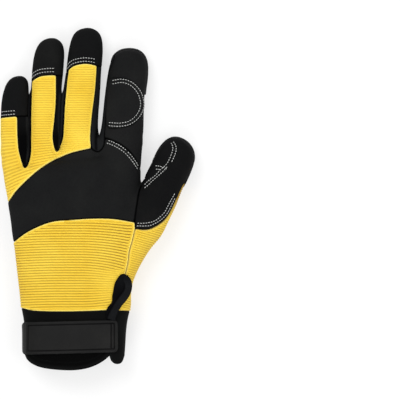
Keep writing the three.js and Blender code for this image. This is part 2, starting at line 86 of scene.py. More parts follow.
# Finger sections: y, left, right, floor, top
PINKY: Table = (
    (6, -65.5, -46.5, REST_Z, 21), (22, -68, -47.9, REST_Z, 20.5), (28, -68.9, -50, REST_Z, 20),
    (58, -69.4, -49.7, REST_Z, 19), (73, -68.2, -49.2, REST_Z, 18.5), (80, -66, -49.4, 2.3, 18),
    (84.5, -63.2, -50, 3.2, 16.6), (86.9, -59.5, -52.4, 5.6, 13.8),
)
RING: Table = (
    (6, -50, -25, REST_Z, 23), (22, -51, -25, REST_Z, 23), (38, -48.8, -26.9, REST_Z, 22),
    (56, -48.4, -27.1, REST_Z, 21.5), (73, -47.9, -26.2, REST_Z, 21), (100, -45.8, -23.9, REST_Z, 20),
    (108, -43.4, -24.2, 2.5, 19), (112, -40.4, -26.2, 3.6, 17), (114.1, -36.2, -29.2, 6.2, 14),
)
MIDDLE: Table = (
    (6, -28, 2, REST_Z, 24.5), (30, -28.5, 3, REST_Z, 24), (40, -26.3, 2.6, REST_Z, 23.5),
    (46, -26.1, 0.6, REST_Z, 23), (57, -25.7, 0.4, REST_Z, 23), (73, -25, 1.6, REST_Z, 22.5),
    (90, -22.6, 2.5, REST_Z, 22), (107, -20.4, 3.8, REST_Z, 21), (115, -18.2, 2.8, 2.5, 20),
    (119.4, -15.2, 0.2, 3.8, 17.8), (121.4, -10.6, -3.8, 6.6, 14.4),
)
INDEX: Table = (
    (0, 0, 30.2, REST_Z, 26), (22, -0.5, 30.7, REST_Z, 25.5), (40, -0.8, 32, REST_Z, 25),
    (46, 1.8, 32.5, REST_Z, 24.5), (73, 5.2, 33.4, REST_Z, 23.5), (88, 7.2, 35.2, REST_Z, 23),
    (97, 9.2, 34.9, REST_Z, 22), (102.5, 12.4, 32.6, 3.2, 20.3), (105.8, 17.2, 28.2, 5.8, 16.6),
)
# Slanted sections: left x, left y, right x, right y, floor, top
THUMB: Table = (
    (2, -52, 23.4, -64, 3.5, 29), (7.5, -37, 29.4, -50, 3, 30), (8, -21.4, 37.5, -36.6, 3, 30),
    (13.5, -10, 45.4, -27, 3, 30), (20, 0.6, 51.4, -14.9, 3, 29), (30.4, 8.2, 56.1, -4.9, 3, 28),
    (34.7, 16.8, 60.2, 5.9, 2.6, 27), (39.2, 25.6, 63.9, 13.8, 2.2, 26),
    (43.4, 34, 67.6, 23.2, 2.2, 25), (46.9, 38.9, 68.9, 29.4, 2.6, 23.5),
    (51, 42.1, 67.3, 35.5, 3.8, 21.2), (55.3, 43.4, 63.4, 40.1, 6.4, 17.4),
)
PALM: Table = (
    (-51.6, -130, 18.6, -130, REST_Z, 32), (-52.2, -108, 19.8, -108, REST_Z, 32),
    (-52.6, -88, 21.4, -88, REST_Z, 31), (-54.6, -77, 23.9, -77, REST_Z, 31),
    (-55.5, -67, 23.9, -67, REST_Z, 32), (-56.9, -55, 26.2, -55, REST_Z, 33),
    (-58.8, -38, 28, -38, REST_Z, 34), (-61.1, -21, 29.2, -21, REST_Z, 34),
    (-63.5, -4, 29.9, -4, REST_Z, 34), (-65.8, 8, 29.7, 10, REST_Z, 33),
    (-66.8, 14, 30.5, 22, REST_Z, 31), (-67.6, 20, 31.2, 32, REST_Z, 26),
)

# Seam lines: x, y at each turn
PINKY_RING_SIDES: Table = (
    (-57.6, 130), (-57.6, 66), (-57.1, 56), (-56.8, 43), (-55.6, 32.5), (-51.4, 21.5),
    (-48.1, 28.5), (-47.4, 43), (-47.3, 60), (-46.9, 75), (-46.6, 90), (-46.6, 130),
)
RING_MIDDLE_SIDES: Table = (
    (-29.4, 130), (-29.4, 94), (-29.5, 69), (-30.6, 55), (-31.6, 42), (-29, 33.4),
    (-25, 41.4), (-24, 52), (-23.3, 65), (-21.8, 82), (-20.2, 96), (-20.2, 130),
)
MIDDLE_INDEX_SIDES: Table = (
    (-0.2, 130), (-0.2, 98), (-1.4, 77.5), (-3.6, 59.5), (-4.8, 41.5), (-3.4, 35), (0.6, 33.2), (4.4, 37),
    (5.2, 47), (6.2, 60), (7.2, 74), (8.6, 90), (12.2, 101), (14, 130),
)
PINKY_TIP_SEAM: Table = ((-74, 57), (-67, 57.6), (-57, 58.4), (-48.75, 58.6))
RING_TIP_SEAM: Table = ((-49, 81.6), (-46.2, 84), (-42.3, 86.3), (-38, 87.4), (-30, 87.7), (-24, 87))
MIDDLE_TIP_SEAM: Table = (
    (-23, 89.4), (-20.9, 91.5), (-16.8, 94.3), (-10.4, 95.8), (-5.9, 95.7), (-0.6, 94.6), (4, 93.6),
)
UPPER_BACK_SEAM: Table = (
    (-4.8, 35.4), (-18.6, 32.2), (-28.6, 28.1), (-39.6, 21.8), (-48.7, 14), (-57.8, 4.8), (-63, -2),
    (-74, -13),
)
INDEX_BASE_SEAM: Table = (
    (3, 43.6), (10, 41.6), (17, 38.2), (23.3, 33.1), (27.9, 26.8), (31, 21.4), (36, 18.6),
)
LOWER_BACK_SEAM: Table = (
    (-72, -40), (-58.2, -30.2), (-51.6, -25.3), (-42.3, -20.4), (-31.4, -16.6), (-18.6, -15.4),
    (-1.3, -14.4), (12.4, -14.8), (26.9, -17.2),
)
THUMB_ROOT_SEAM: Table = ((34, 12.5), (30.4, 6.4), (28.2, -5.4), (26.9, -15.7), (27, -22))
THUMB_LOWER_SEAM: Table = (
    (27, -22), (37.1, -22.1), (46.1, -17.4), (50.1, -13.2), (53.4, -7.5), (56.6, -0.5), (61, 9), (70, 22),
)
GUSSET_BACK_SEAM: Table = (
    (27, -22), (25.1, -30), (22.9, -38), (21.9, -46.2), (20, -54), (16.4, -64.5), (12.9, -81.6),
)
GUSSET_PALM_SEAM: Table = (
    (61, 12), (51.1, 0), (45.4, -11.3), (36.8, -24.1), (23.5, -38.4), (13.2, -51.3), (9.2, -61.7),
    (8.4, -71), (7.5, -82.5),
)
CUFF_BACK_SEAM: Table = (
    (-66, -77.4), (-53.2, -78.6), (-46, -80), (-24.1, -80.6), (-1.3, -80.1), (8, -79.7), (21.5, -80.4),
    (36, -80.6),
)
CUFF_PALM_SEAM: Table = (
    (-66, -74), (-53.9, -78.1), (-38.9, -84.1), (-24.3, -85.1), (-9.2, -83.6), (3.2, -81.3),
    (18.9, -79), (36, -78),
)
CUFF_END: Table = (
    (-60, -101), (-52.6, -110), (-49.6, -115.4), (-41.8, -119.7), (-21, -122.2), (-9.5, -121.3),
    (-1.1, -118.7), (5, -115.3), (8.4, -112.6), (13, -110), (20, -106.5), (30, -101),
)
FLAP_END: Table = ((9.3, -112), (11, -116), (14.6, -118.2), (17.8, -117.2), (20.4, -111), (30, -100))
HEM_HEIGHT = 5.5
FLAP_SLIT_X = 9.3

# Outlines of the sewn-on patches: x, y
KNUCKLE_PATCH: Table = (
    (8.9, 84.4), (17.8, 85.8), (25.5, 83.2), (30.6, 77.3), (32.4, 70.5), (32.2, 63.4),
    (29.8, 57), (24.4, 52), (17, 50), (7.8, 50.4), (6.9, 58), (7.6, 72),
)
# The same outline opened to the left, which the knuckle patch's stitch rows follow
KNUCKLE_BOW: Table = ((-4, 84), *KNUCKLE_PATCH[:-2], (-4, 50.6))
UPPER_PALM_PATCH: Table = (
    (-60, -3.5), (-54.8, -8.4), (-43.6, -5.3), (-21.9, 1.9), (8, 7), (31, 11), (31.6, 29.5), (30.6, 48),
    (24, 48.6), (16, 41.4), (12.6, 31), (7.5, 24), (0, 25), (-3.9, 34), (-5, 43), (-9.4, 45.8), (-14.2, 41),
    (-14.8, 30), (-20, 24.2), (-27.2, 28), (-28.9, 36.5), (-33.6, 41.7), (-38.3, 36), (-40.4, 24),
    (-46, 11.6), (-54, 4.4),
)
# Centre line of the hooked heel patch: x, y, half width
HOOK_PATCH: Table = (
    (-2.6, -8.6, 5.2), (-15, -11, 8), (-30, -16.4, 8.6), (-43, -25, 8.6), (-50.6, -37, 7), (-47.6, -49, 7),
    (-37.5, -55.6, 8.2), (-24, -53.4, 11), (-9, -46.6, 13.6), (5.8, -36.6, 13),
)
CROTCH_PATCH: Table = (
    (28.2, 8), (20.7, 6.6), (12.2, 3.4), (8, -1.3), (7.8, -8.4), (12, -14.6), (19.6, -17.4), (28.2, -13.4),
)
# Fingertip patches: left, right, start, highest z
FINGERTIP_PATCHES: dict[str, tuple[float, float, float, float]] = {
    "pinky": (-67.2, -50.8, 54.4, 9.0),
    "ring": (-45.8, -27.4, 79.4, 9.0),
    "middle": (-21.6, -0.6, 83.0, 9.0),
    "index": (9.6, 40.0, 74.0, 14.0),
}
THUMB_CAP_EDGE: Table = (
    (36, 28.6), (40.2, 25.3), (44.4, 18.4), (51, 11.6), (60.8, 6.4), (66, 4.4), (80, 0),
)
THUMB_CAP_TOP = 60.0
THUMB_CAP_HIGH = 14.0
PALM_PATCH_HIGH = 10.0

# Stitch rows of the fingertip ends: where they stop at the right, and the first one's distance from the seam
CAP_ROWS: dict[str, tuple[float, float]] = {
    "pinky_cap": (-57.4, 1.7), "ring_cap": (-29.6, 2.4), "middle_cap": (-0.9, 1.7),
}
CAP_ROW_SPACING = 2.4
# Distances of the double rows from the start of each fingertip patch
TIP_ROWS: dict[str, tuple[float, ...]] = {
    "pinky": (1.4,), "ring": (1.4,), "middle": (1.4, 11.4), "index": (1.4, 13.1),
}
INDEX_SIDE_ROWS_X = 30.0
INDEX_SIDE_ROWS_TOP = 99.5
INDEX_BASE_ROWS_LOW = 20.0
# Stitch rows on the back of the thumb: x, y
THUMB_ROWS: Sequence[Table] = (
    ((53.7, 40.9), (55.9, 37.6), (56.2, 34), (54.8, 29.6), (52.6, 24.9)),
    ((52.2, 40.2), (53.9, 36.6), (53.7, 34), (51.9, 28.9), (49.3, 24.1), (44.9, 20.1), (41.3, 16.1),
     (36.2, 12.1), (32.9, 8.6)),
    ((50.1, 22.7), (47.9, 20.1), (44.9, 17.2), (42, 14.6), (39.1, 12.1), (35.9, 8.9), (33.3, 7)),
    ((40.9, 23.1), (44.9, 22.7), (50.1, 20.5)),
    ((41.3, 20.7), (45.3, 20.4)),
    ((27.9, -19.7), (34.6, -19.8), (37.4, -19.6), (42.8, -17.1), (46.9, -14.1), (50.1, -10.4), (53.1, -4.4),
     (55.4, 0.2)),
    ((27.9, -17.7), (33.8, -17.8), (41.1, -16.1), (45.2, -12.9), (47.7, -10.4), (51, -4.2), (53.9, 1.1),
     (55.6, 4)),
)
# The pull loop's tape: x, y, height over the glove, half width, and painted shade, dark on the leg beneath
LOOP_PATH: Table = (
    (9.4, -86.3, 1, 3.2, 0.9), (9.7, -82.5, 1, 4, 0.9), (10.9, -78.8, 1, 3.8, 0.9),
    (12.5, -74.7, 1, 2.6, 0.9), (13.6, -70, 1, 3.3, 0.9), (15.1, -65.6, 1.05, 4.1, 0.85),
    (15.9, -60.6, 1.2, 3.7, 0.6), (18.1, -56, 1.5, 2.5, 0.4), (20.5, -58.6, 1.7, 3.1, 0.2),
    (20.9, -63, 1.9, 3.5, 0.05), (19.7, -67.2, 2.1, 3.3, 0), (17.3, -71, 2.4, 3.1, 0),
    (14.5, -75, 2.5, 2.8, 0), (12.3, -79, 2.5, 2.8, 0), (10.5, -83, 2.4, 3, 0),
    (9.4, -86.3, 2.2, 3.2, 0.1),
)

# Where neighbouring fingers part: y, x of the parting line
PINKY_RING_PART: Table = ((21, -49.6), (28, -49.9), (38, -49.3), (58, -49.05), (73, -48.55), (90, -48.4))
RING_MIDDLE_PART: Table = (
    (30, -26.8), (38, -26.7), (56, -26.45), (73, -25.6), (90, -23.8), (107, -22.2), (120, -22),
)
MIDDLE_INDEX_PART: Table = ((30, 1.0), (46, 1.2), (57, 1.7), (73, 3.4), (90, 5.0), (105, 8.0))
INDEX_THUMB_PART: Table = ((9, 31.5), (16, 33.0), (24, 34.8), (40, 38.5), (80, 46.0))

# The fold down from the gap between the middle finger and the forefinger, painted dark as painted shade: x, y
ROOT_FOLD: Table = ((0.2, 50), (-0.6, 46), (-1, 41), (-0.8, 35))

# Extra room between fingers while the sheet is meshed: amount, where it starts and where it is whole
FINGER_SPREAD = 1.7
SPREAD_RAMPS: dict[str, tuple[float, float]] = {
    "pinky_ring": (22, 30), "ring_middle": (31, 40), "middle_index": (38, 46),
}

# How far the lower back's ribs bend at its right side: y, sag
RIB_SAG: Table = ((-84, 2.2), (-71, 1.9), (-60, -0.8), (-51, -2.8), (-35, -1.8), (-15, -0.8))


class Slot(Enum):
    """Material slots of the record."""

    YELLOW_KNIT = "yellow_knit"
    BLACK_LEATHER = "black_leather"
    BLACK_KNIT = "black_knit"
    GREY_PATCH = "grey_patch"
    GLOSSY_PATCH = "glossy_patch"
    CUFF_KNIT = "cuff_knit"
    SATIN_RUBBER = "satin_rubber"
    LOOP_TAPE = "loop_tape"


class Digit(Enum):
    """The parts of the hand that a point of the sheet can belong to."""

    PALM = 0
    PINKY = 1
    RING = 2
    MIDDLE = 3
    INDEX = 4
    THUMB = 5


# Small mathematics


def to_frame(points: np.ndarray) -> np.ndarray:
    """Glove millimetres to metres of the frame."""
    return (points + FRAME_SHIFT) * MM


def from_frame(points: np.ndarray) -> np.ndarray:
    """Metres of the frame to glove millimetres."""
    return points / MM - FRAME_SHIFT


def ease(low: float, high: float, value: np.ndarray) -> np.ndarray:
    """A smooth step from 0 at low to 1 at high."""
    share = np.clip((value - low) / (high - low), 0.0, 1.0)
    return share * share * (3.0 - 2.0 * share)


def unit(vectors: np.ndarray) -> np.ndarray:
    """The vectors at length one; a zero vector stays zero."""
    length = np.linalg.norm(vectors, axis=-1, keepdims=True)
    return vectors / np.maximum(length, 1e-12)


def flow(rows: Table | np.ndarray, steps: int = 8, closed: bool = False) -> np.ndarray:
    """Lays rows densely on a smooth curve through the rows given.

    Args:
        rows: the rows the curve passes through, in any number of columns.
        steps: how many rows replace each span.
        closed: whether the curve returns to its first row.

    Returns:
        The dense rows.
    """
    knots = np.asarray(rows, float)
    if closed:
        padded = np.vstack([knots[-1], knots, knots[0], knots[1]])
    else:
        padded = np.vstack([2 * knots[0] - knots[1], knots, 2 * knots[-1] - knots[-2]])
    share = (np.arange(steps) / steps)[:, None]
    out = []
    for before, start, end, after in zip(padded, padded[1:], padded[2:], padded[3:]):
        first, span, last = (max(np.linalg.norm(b - a), 1e-6) ** 0.5
                             for a, b in ((before, start), (start, end), (end, after)))
        leave = ((start - before) / first - (end - before) / (first + span) + (end - start) / span) * span
        reach = ((end - start) / span - (after - start) / (span + last) + (after - end) / last) * span
        out.append(start + leave * share
                   + (3 * (end - start) - 2 * leave - reach) * share**2
                   + (2 * (start - end) + leave + reach) * share**3)
    if not closed:
        out.append(knots[-1:])
    return np.vstack(out)


def oval(angle: np.ndarray, bend: float) -> tuple[np.ndarray, np.ndarray]:
    """Across and up at each angle of a rounded square; a bend of one is a circle."""
    across, upward = np.cos(angle), np.sin(angle)
    return np.sign(across) * np.abs(across) ** bend, np.sign(upward) * np.abs(upward) ** bend


def bell(distance: np.ndarray, width: float) -> np.ndarray:
    """One at no distance, falling off smoothly over the width given."""
    return np.exp(-(distance / width) ** 2)


def ripple(points: np.ndarray, length: float, seed: int, waves: int = 7) -> np.ndarray:
    """Smooth unevenness between about -1 and 1, of the wavelength given, the same on each run.

    Args:
        points: places in glove millimetres.
        length: the wavelength.
        seed: which waves are drawn.
        waves: how many are added up.

    Returns:
        The height at each point.
    """
    chance = np.random.default_rng(seed)
    heading = unit(chance.normal(size=(waves, 3)))
    heading = heading * (2 * math.pi / (length * chance.uniform(0.7, 1.5, (waves, 1))))
    turn = chance.uniform(0, 2 * math.pi, waves)
    return np.sin(points @ heading.T + turn).sum(axis=1) / math.sqrt(waves * 1.4)


def crease(points: np.ndarray, length: float, seed: int, width: float = 0.28) -> np.ndarray:
    """Narrow winding valleys of depth one between broad flats, of the wavelength given."""
    return -np.clip(1.0 - np.abs(ripple(points, length, seed)) / width, 0.0, 1.0) ** 1.5


@dataclass(frozen=True)
class Unevenness:
    """Smooth waves or creases of a surface, which fade out towards its edges."""

    depth: float
    length: float
    seed: int
    fade: tuple[float, float]
    creased: bool = False

    def over(self, points: np.ndarray, edge: np.ndarray) -> np.ndarray:
        """The height at each point, whose distance to the edge is given too."""
        shape = crease if self.creased else ripple
        return self.depth * shape(points, self.length, self.seed) * ease(*self.fade, edge)


LEATHER_WAVES = Unevenness(0.12, 26.0, 4, (1, 6))
LEATHER_CREASES = Unevenness(1.0, 34.0, 11, (2, 7), creased=True)
PATCH_WAVES = Unevenness(0.1, 14.0, 7, (4, 8))
CUFF_WAVES = Unevenness(0.1, 30.0, 21, (1, 5))


# Outlines


def region_to(height: float, seam: Table) -> np.ndarray:
    """The region between a seam, carried on sideways past the glove, and a height above or below it.

    Args:
        height: the y at which the region ends.
        seam: the seam's turns.

    Returns:
        The region's outline in plan.
    """
    line = flow(seam)
    side = math.copysign(FAR, line[-1, 0] - line[0, 0])
    ends = [(side, line[-1, 1]), (side, height), (-side, height), (-side, line[0, 1])]
    return np.vstack([line, ends])


def region_right_of(seam: Table, ceiling: Table | None = None) -> np.ndarray:
    """The region to the right of a seam that runs down to the wrist, and below another line where given.

    Args:
        seam: the seam's turns.
        ceiling: the turns of the line above it.

    Returns:
        The region's outline in plan.
    """
    line = flow(seam)
    upper = flow(ceiling)[::-1] if ceiling else line[:1]
    corners = [(line[-1, 0], -FAR), (FAR, -FAR), (FAR, upper[0, 1])]
    return np.vstack([line, corners, upper[:-1]])


def stroke_outline(rows: Table) -> np.ndarray:
    """The outline of a band of changing width along a centre line, with round ends.

    Args:
        rows: x, y and half width at each turn.

    Returns:
        The outline in plan.
    """
    dense = flow(rows)
    centre, half = dense[:, :2], dense[:, 2:]
    along = unit(np.gradient(centre, axis=0))
    left = np.column_stack([-along[:, 1], along[:, 0]])
    angle = np.linspace(0, math.pi, 12)[1:-1, None]
    far = centre[-1] + half[-1] * (left[-1] * np.cos(angle) + along[-1] * np.sin(angle))
    near = centre[0] + half[0] * (-left[0] * np.cos(angle) - along[0] * np.sin(angle))
    return np.vstack([centre + left * half, far, (centre - left * half)[::-1], near])


def inside_distance(points: np.ndarray, outline: np.ndarray) -> np.ndarray:
    """Distance from each point to a closed outline in plan, positive inside it.

    Args:
        points: places, of which x and y count.
        outline: the outline's corners.

    Returns:
        The distances.
    """
    x, y = points[:, 0], points[:, 1]
    nearest = np.full(len(points), np.inf)
    inside = np.zeros(len(points), bool)
    for (ax, ay), (bx, by) in zip(outline, np.roll(outline, -1, axis=0)):
        ex, ey = bx - ax, by - ay
        size = ex * ex + ey * ey
        if size < 1e-12:
            continue
        share = np.clip(((x - ax) * ex + (y - ay) * ey) / size, 0.0, 1.0)
        nearest = np.minimum(nearest, (x - ax - share * ex) ** 2 + (y - ay - share * ey) ** 2)
        if ey:
            crosses = ((ay > y) != (by > y)) & (x < (y - ay) * ex / ey + ax)
            inside ^= crosses
    distance = np.sqrt(nearest)
    return np.where(inside, distance, -distance)


def path_distance(points: np.ndarray, path: np.ndarray) -> np.ndarray:
    """Distance in plan from each point to an open path.

    Args:
        points: places, of which x and y count.
        path: the path's corners.

    Returns:
        The distances.
    """
    nearest = np.full(len(points), np.inf)
    for start, end in zip(path, path[1:]):
        span = end - start
        away = points[:, :2] - start
        share = np.clip(away @ span / max(span @ span, 1e-12), 0.0, 1.0)
        nearest = np.minimum(nearest, np.linalg.norm(away - share[:, None] * span, axis=1))
    return nearest


def rounded_least(first: np.ndarray, second: np.ndarray, radius: np.ndarray | float) -> np.ndarray:
    """The lesser of two distances, with the corner between them rounded.

    Args:
        first: a distance, positive inside.
        second: the other one.
        radius: radius of the corner.

    Returns:
        The rounded distance.
    """
    deep = np.minimum(first, second)
    corner = radius - np.hypot(np.maximum(radius - first, 0), np.maximum(radius - second, 0))
    return np.where(deep < radius, np.minimum(deep, corner), deep)


# Sheets


@dataclass
class Skin:
    """A triangle surface in glove millimetres, with a smooth normal and named values at each corner."""

    points: np.ndarray
    faces: np.ndarray
    normals: np.ndarray
    values: dict[str, np.ndarray] = field(default_factory=dict)

    def face_normals(self) -> np.ndarray:
        """Area-weighted normals of the faces."""
        a, b, c = (self.points[self.faces[:, i]] for i in range(3))
        return np.cross(b - a, c - a)

    def settle_normals(self, rounds: int = 2) -> None:
        """Sets the corner normals from the faces, averaged over neighbours.

        Args:
            rounds: how often they are averaged.
        """
        normals = scatter(self.faces, np.repeat(self.face_normals()[:, None], 3, axis=1), len(self.points))
        links = edge_pairs(self.faces)
        for _ in range(rounds):
            normals = unit(normals)
            normals = normals + neighbour_mean(normals, links)
        self.normals = unit(normals)

    def slope(self, value: np.ndarray) -> np.ndarray:
        """How fast a value changes over the surface at each corner, as a vector.

        Args:
            value: a number for each corner.

        Returns:
            The vectors.
        """
        normal = self.face_normals()
        double_area = np.linalg.norm(normal, axis=1, keepdims=True)
        a, b, c = (self.points[self.faces[:, i]] for i in range(3))
        va, vb, vc = (value[self.faces[:, i]][:, None] for i in range(3))
        gradient = np.cross(unit(normal), va * (c - b) + vb * (a - c) + vc * (b - a))
        total = scatter(self.faces, np.repeat(gradient[:, None], 3, axis=1), len(self.points))
        weight = scatter(self.faces, np.repeat(double_area[:, None], 3, axis=1), len(self.points))
        return total / np.maximum(weight, 1e-9)

    def on_surface(self, value: np.ndarray, least: float = 0.35) -> np.ndarray:
        """A value in plan turned into a distance along the surface, near where it is zero."""
        return value / np.maximum(np.linalg.norm(self.slope(value), axis=1), least)

    def keep(self, value: np.ndarray, level: float, snap: float = 0.25) -> "Skin":
        """The part of the surface where a value is above a level, cut cleanly along it.

        Args:
            value: one number for each corner.
            level: the number at the cut.
            snap: corners nearer to the cut than this, in millimetres, move onto it.

        Returns:
            The part kept, with its values carried over.
        """
        offset = value - level
        gradient = self.slope(value)
        steep = np.maximum((gradient**2).sum(axis=1), 0.2)
        near = np.abs(offset) < snap
        carried = self._columns()
        carried[:, :3] -= np.where(near, offset / steep, 0.0)[:, None] * gradient
        offset = np.where(near, 0.0, offset)
        faces = self.faces[(offset[self.faces] > 0).any(axis=1)]
        signs = offset[faces] >= 0
        whole = faces[signs.all(axis=1)]
        mixed, kept = faces[~signs.all(axis=1)], signs[~signs.all(axis=1)]
        mixed = odd_first(mixed, kept)
        single = kept.sum(axis=1) == 1
        first, last = mixed[:, [0, 1]], mixed[:, [0, 2]]
        edges, index = np.unique(np.sort(np.vstack([first, last]), axis=1), axis=0, return_inverse=True)
        index = index.reshape(-1)
        low, high = offset[edges[:, 0]], offset[edges[:, 1]]
        share = np.clip(low / np.where(np.abs(low - high) < 1e-12, 1.0, low - high), 0.0, 1.0)[:, None]
        fresh = carried[edges[:, 0]] * (1 - share) + carried[edges[:, 1]] * share
        at_first, at_last = index.reshape(2, -1) + len(carried)
        corner = mixed[single, 0]
        small = np.column_stack([corner, at_first[single], at_last[single]])
        b, c = mixed[~single, 1], mixed[~single, 2]
        part = np.vstack([
            np.column_stack([b, c, at_last[~single]]),
            np.column_stack([b, at_last[~single], at_first[~single]]),
        ])
        return self._rebuilt(np.vstack([carried, fresh]), np.vstack([whole, small, part]))

    def _columns(self) -> np.ndarray:
        """Place, normal and values of each corner, side by side."""
        return np.column_stack([self.points, self.normals, *self.values.values()])

    def _of_columns(self, columns: np.ndarray, faces: np.ndarray) -> "Skin":
        """A skin of columns that are laid out as this one's are."""
        values = {name: columns[:, 6 + i] for i, name in enumerate(self.values)}
        return Skin(columns[:, :3], faces, unit(columns[:, 3:6]), values)

    def _rebuilt(self, carried: np.ndarray, faces: np.ndarray) -> "Skin":
        """A skin from stacked columns, with equal corners merged and empty faces dropped.

        Args:
            carried: a row of columns for each corner.
            faces: triangles of those rows.

        Returns:
            The skin.
        """
        used = np.unique(faces)
        places = np.round(carried[used, :3], 4)
        _, first, merged = np.unique(places, axis=0, return_index=True, return_inverse=True)
        lookup = np.full(len(carried), -1)
        lookup[used] = merged.reshape(-1)
        faces = lookup[faces]
        solid = (faces[:, 0] != faces[:, 1]) & (faces[:, 1] != faces[:, 2]) & (faces[:, 0] != faces[:, 2])
        return self._of_columns(carried[used][first], faces[solid])

    def main_part(self, least: int = 40) -> "Skin":
        """The surface without its loose crumbs, those of fewer corners than the number given.

        Args:
            least: the number.

        Returns:
            The surface that is left.
        """
        label = np.arange(len(self.points))
        links = edge_pairs(self.faces)
        while True:
            low = label.copy()
            np.minimum.at(low, links[:, 0], label[links[:, 1]])
            np.minimum.at(low, links[:, 1], label[links[:, 0]])
            low = low[low]
            if (low == label).all():
                break
            label = low
        counts = np.bincount(label, minlength=len(label))
        faces = self.faces[counts[label[self.faces[:, 0]]] >= least]
        return self._rebuilt(self._columns(), faces)

    def refined(self) -> "Skin":
        """The surface with every triangle cut in four."""
        edges = edge_pairs(self.faces)
        carried = self._columns()
        stacked = np.vstack([carried, (carried[edges[:, 0]] + carried[edges[:, 1]]) / 2])
        size = len(self.points)
        keys = edges[:, 0] * size + edges[:, 1]
        a, b, c = self.faces.T
        ab, bc, ca = (size + np.searchsorted(keys, np.minimum(p, q) * size + np.maximum(p, q))
                      for p, q in ((a, b), (b, c), (c, a)))
        corners = ((a, ab, ca), (ab, b, bc), (ca, bc, c), (ab, bc, ca))
        faces = np.vstack([np.column_stack(three) for three in corners])
        return self._of_columns(stacked, faces)

    def lifted(self, height: np.ndarray | float) -> "Skin":
        """The surface moved along its normals."""
        lift = np.broadcast_to(np.asarray(height, float), (len(self.points),))
        return Skin(self.points + self.normals * lift[:, None], self.faces, self.normals, self.values)


def scatter(faces: np.ndarray, amounts: np.ndarray, count: int) -> np.ndarray:
    """Sums, at each of count corners, the amounts given for the faces' corners."""
    flat = faces.reshape(-1)
    columns = amounts.reshape(len(flat), -1)
    return np.column_stack([np.bincount(flat, columns[:, i], count) for i in range(columns.shape[1])])


def odd_first(faces: np.ndarray, above: np.ndarray) -> np.ndarray:
    """The faces that a level cuts, each turned so that the corner alone on its side comes first."""
    odd = np.where(above.sum(axis=1) == 1, above.argmax(axis=1), (~above).argmax(axis=1))
    return np.take_along_axis(faces, (odd[:, None] + np.arange(3)) % 3, axis=1)


def edge_pairs(faces: np.ndarray) -> np.ndarray:
    """Every edge of the faces once, as a pair of corners."""
    pairs = np.vstack([faces[:, [0, 1]], faces[:, [1, 2]], faces[:, [2, 0]]])
    return np.unique(np.sort(pairs, axis=1), axis=0)


def neighbour_mean(amounts: np.ndarray, links: np.ndarray) -> np.ndarray:
    """The mean of each corner's neighbours.

    Args:
        amounts: a row for each corner.
        links: pairs of neighbours.

    Returns:
        A mean for each corner.
    """
    count = len(amounts)
    both = np.vstack([links, links[:, ::-1]])
    total = np.column_stack([np.bincount(both[:, 0], column, count) for column in amounts[both[:, 1]].T])
    return total / np.maximum(np.bincount(both[:, 0], minlength=count), 1)[:, None]


def rim_edges(faces: np.ndarray) -> np.ndarray:
    """The directed edges that only one face has.

    Args:
        faces: the triangles.

    Returns:
        Pairs of corners.
    """
    directed = np.vstack([faces[:, [0, 1]], faces[:, [1, 2]], faces[:, [2, 0]]])
    size = faces.max() + 1
    forward = directed[:, 0] * size + directed[:, 1]
    backward = directed[:, 1] * size + directed[:, 0]
    return directed[~np.isin(forward, backward)]


@dataclass
class Body:
    """Triangles in glove millimetres, with what the finishes need to know at each corner.

    The edge value is the distance to the nearest edge of the piece. The shade value is painted shade, from 0
    to 1:
    how much darker a corner is painted, as between ribs and in the seams.
    """

    points: np.ndarray
    faces: np.ndarray
    edge: np.ndarray
    shade: np.ndarray

    def joined(self, other: "Body") -> "Body":
        """This body and another in one.

        Args:
            other: the other body.

        Returns:
            Both together.
        """
        return Body(
            np.vstack([self.points, other.points]),
            np.vstack([self.faces, other.faces + len(self.points)]),
            np.concatenate([self.edge, other.edge]),
            np.concatenate([self.shade, other.shade]),
        )


def rolled_sheet(skin: Skin, roll: float, wall: np.ndarray | float, edge: np.ndarray, turns: int = 4) -> Body:
    """A closed sheet: the skin, its edges rolled under in a quarter circle, and an inner face.

    Args:
        skin: the outer surface, cut back by the roll's radius.
        roll: radius of the rolled edge, or less where the wall is thinner.
        wall: depth of the inner face under the outer one.
        edge: distance of each corner to the edge.
        turns: rows in the roll.

    Returns:
        The closed body.
    """
    count = len(skin.points)
    wall = np.broadcast_to(np.asarray(wall, float), (count,))[:, None]
    roll = np.minimum(roll, wall * 0.85)
    rim = rim_edges(skin.faces)
    outward = np.zeros((count, 3))
    side = np.cross(unit(skin.points[rim[:, 1]] - skin.points[rim[:, 0]]), skin.normals[rim[:, 0]])
    for i in (0, 1):
        np.add.at(outward, rim[:, i], side)
    outward = unit(outward)
    soft = outward.copy()
    np.add.at(soft, rim[:, 0], outward[rim[:, 1]] * 0.5)
    np.add.at(soft, rim[:, 1], outward[rim[:, 0]] * 0.5)
    outward = unit(soft)
    # The roll's rows get painted shade that grows towards the foot, as in a seam's hollow; the foot is
    # painted fully dark
    layers = [(skin.points, edge, 0.0)]
    for turn in range(1, turns + 1):
        angle = turn / turns * math.pi / 2
        sunk = skin.normals * roll * (1 - math.cos(angle))
        layers.append((skin.points + outward * roll * math.sin(angle) - sunk, 0.0, (turn / turns) ** 3))
    foot = np.maximum(wall - 0.1, roll)
    layers.append((skin.points + outward * roll - skin.normals * foot, 0.0, 1.0))
    layers.append((skin.points - skin.normals * wall, edge, 0.0))
    faces = [skin.faces, skin.faces[:, ::-1] + count * (len(layers) - 1)]
    a, b = rim.T
    for near in range(0, count * (len(layers) - 1), count):
        far = near + count
        faces.append(np.column_stack([b + near, a + near, a + far]))
        faces.append(np.column_stack([b + near, a + far, b + far]))
    rows, edges, shades = zip(*layers)
    edges, shades = ([np.broadcast_to(layer, count) for layer in layers] for layers in (edges, shades))
    return trimmed(Body(np.vstack(rows), np.vstack(faces), np.concatenate(edges), np.concatenate(shades)))


def trimmed(body: Body) -> Body:
    """The body without corners that no face uses."""
    used, faces = np.unique(body.faces, return_inverse=True)
    return Body(body.points[used], faces.reshape(-1, 3), body.edge[used], body.shade[used])


# The hand's own form


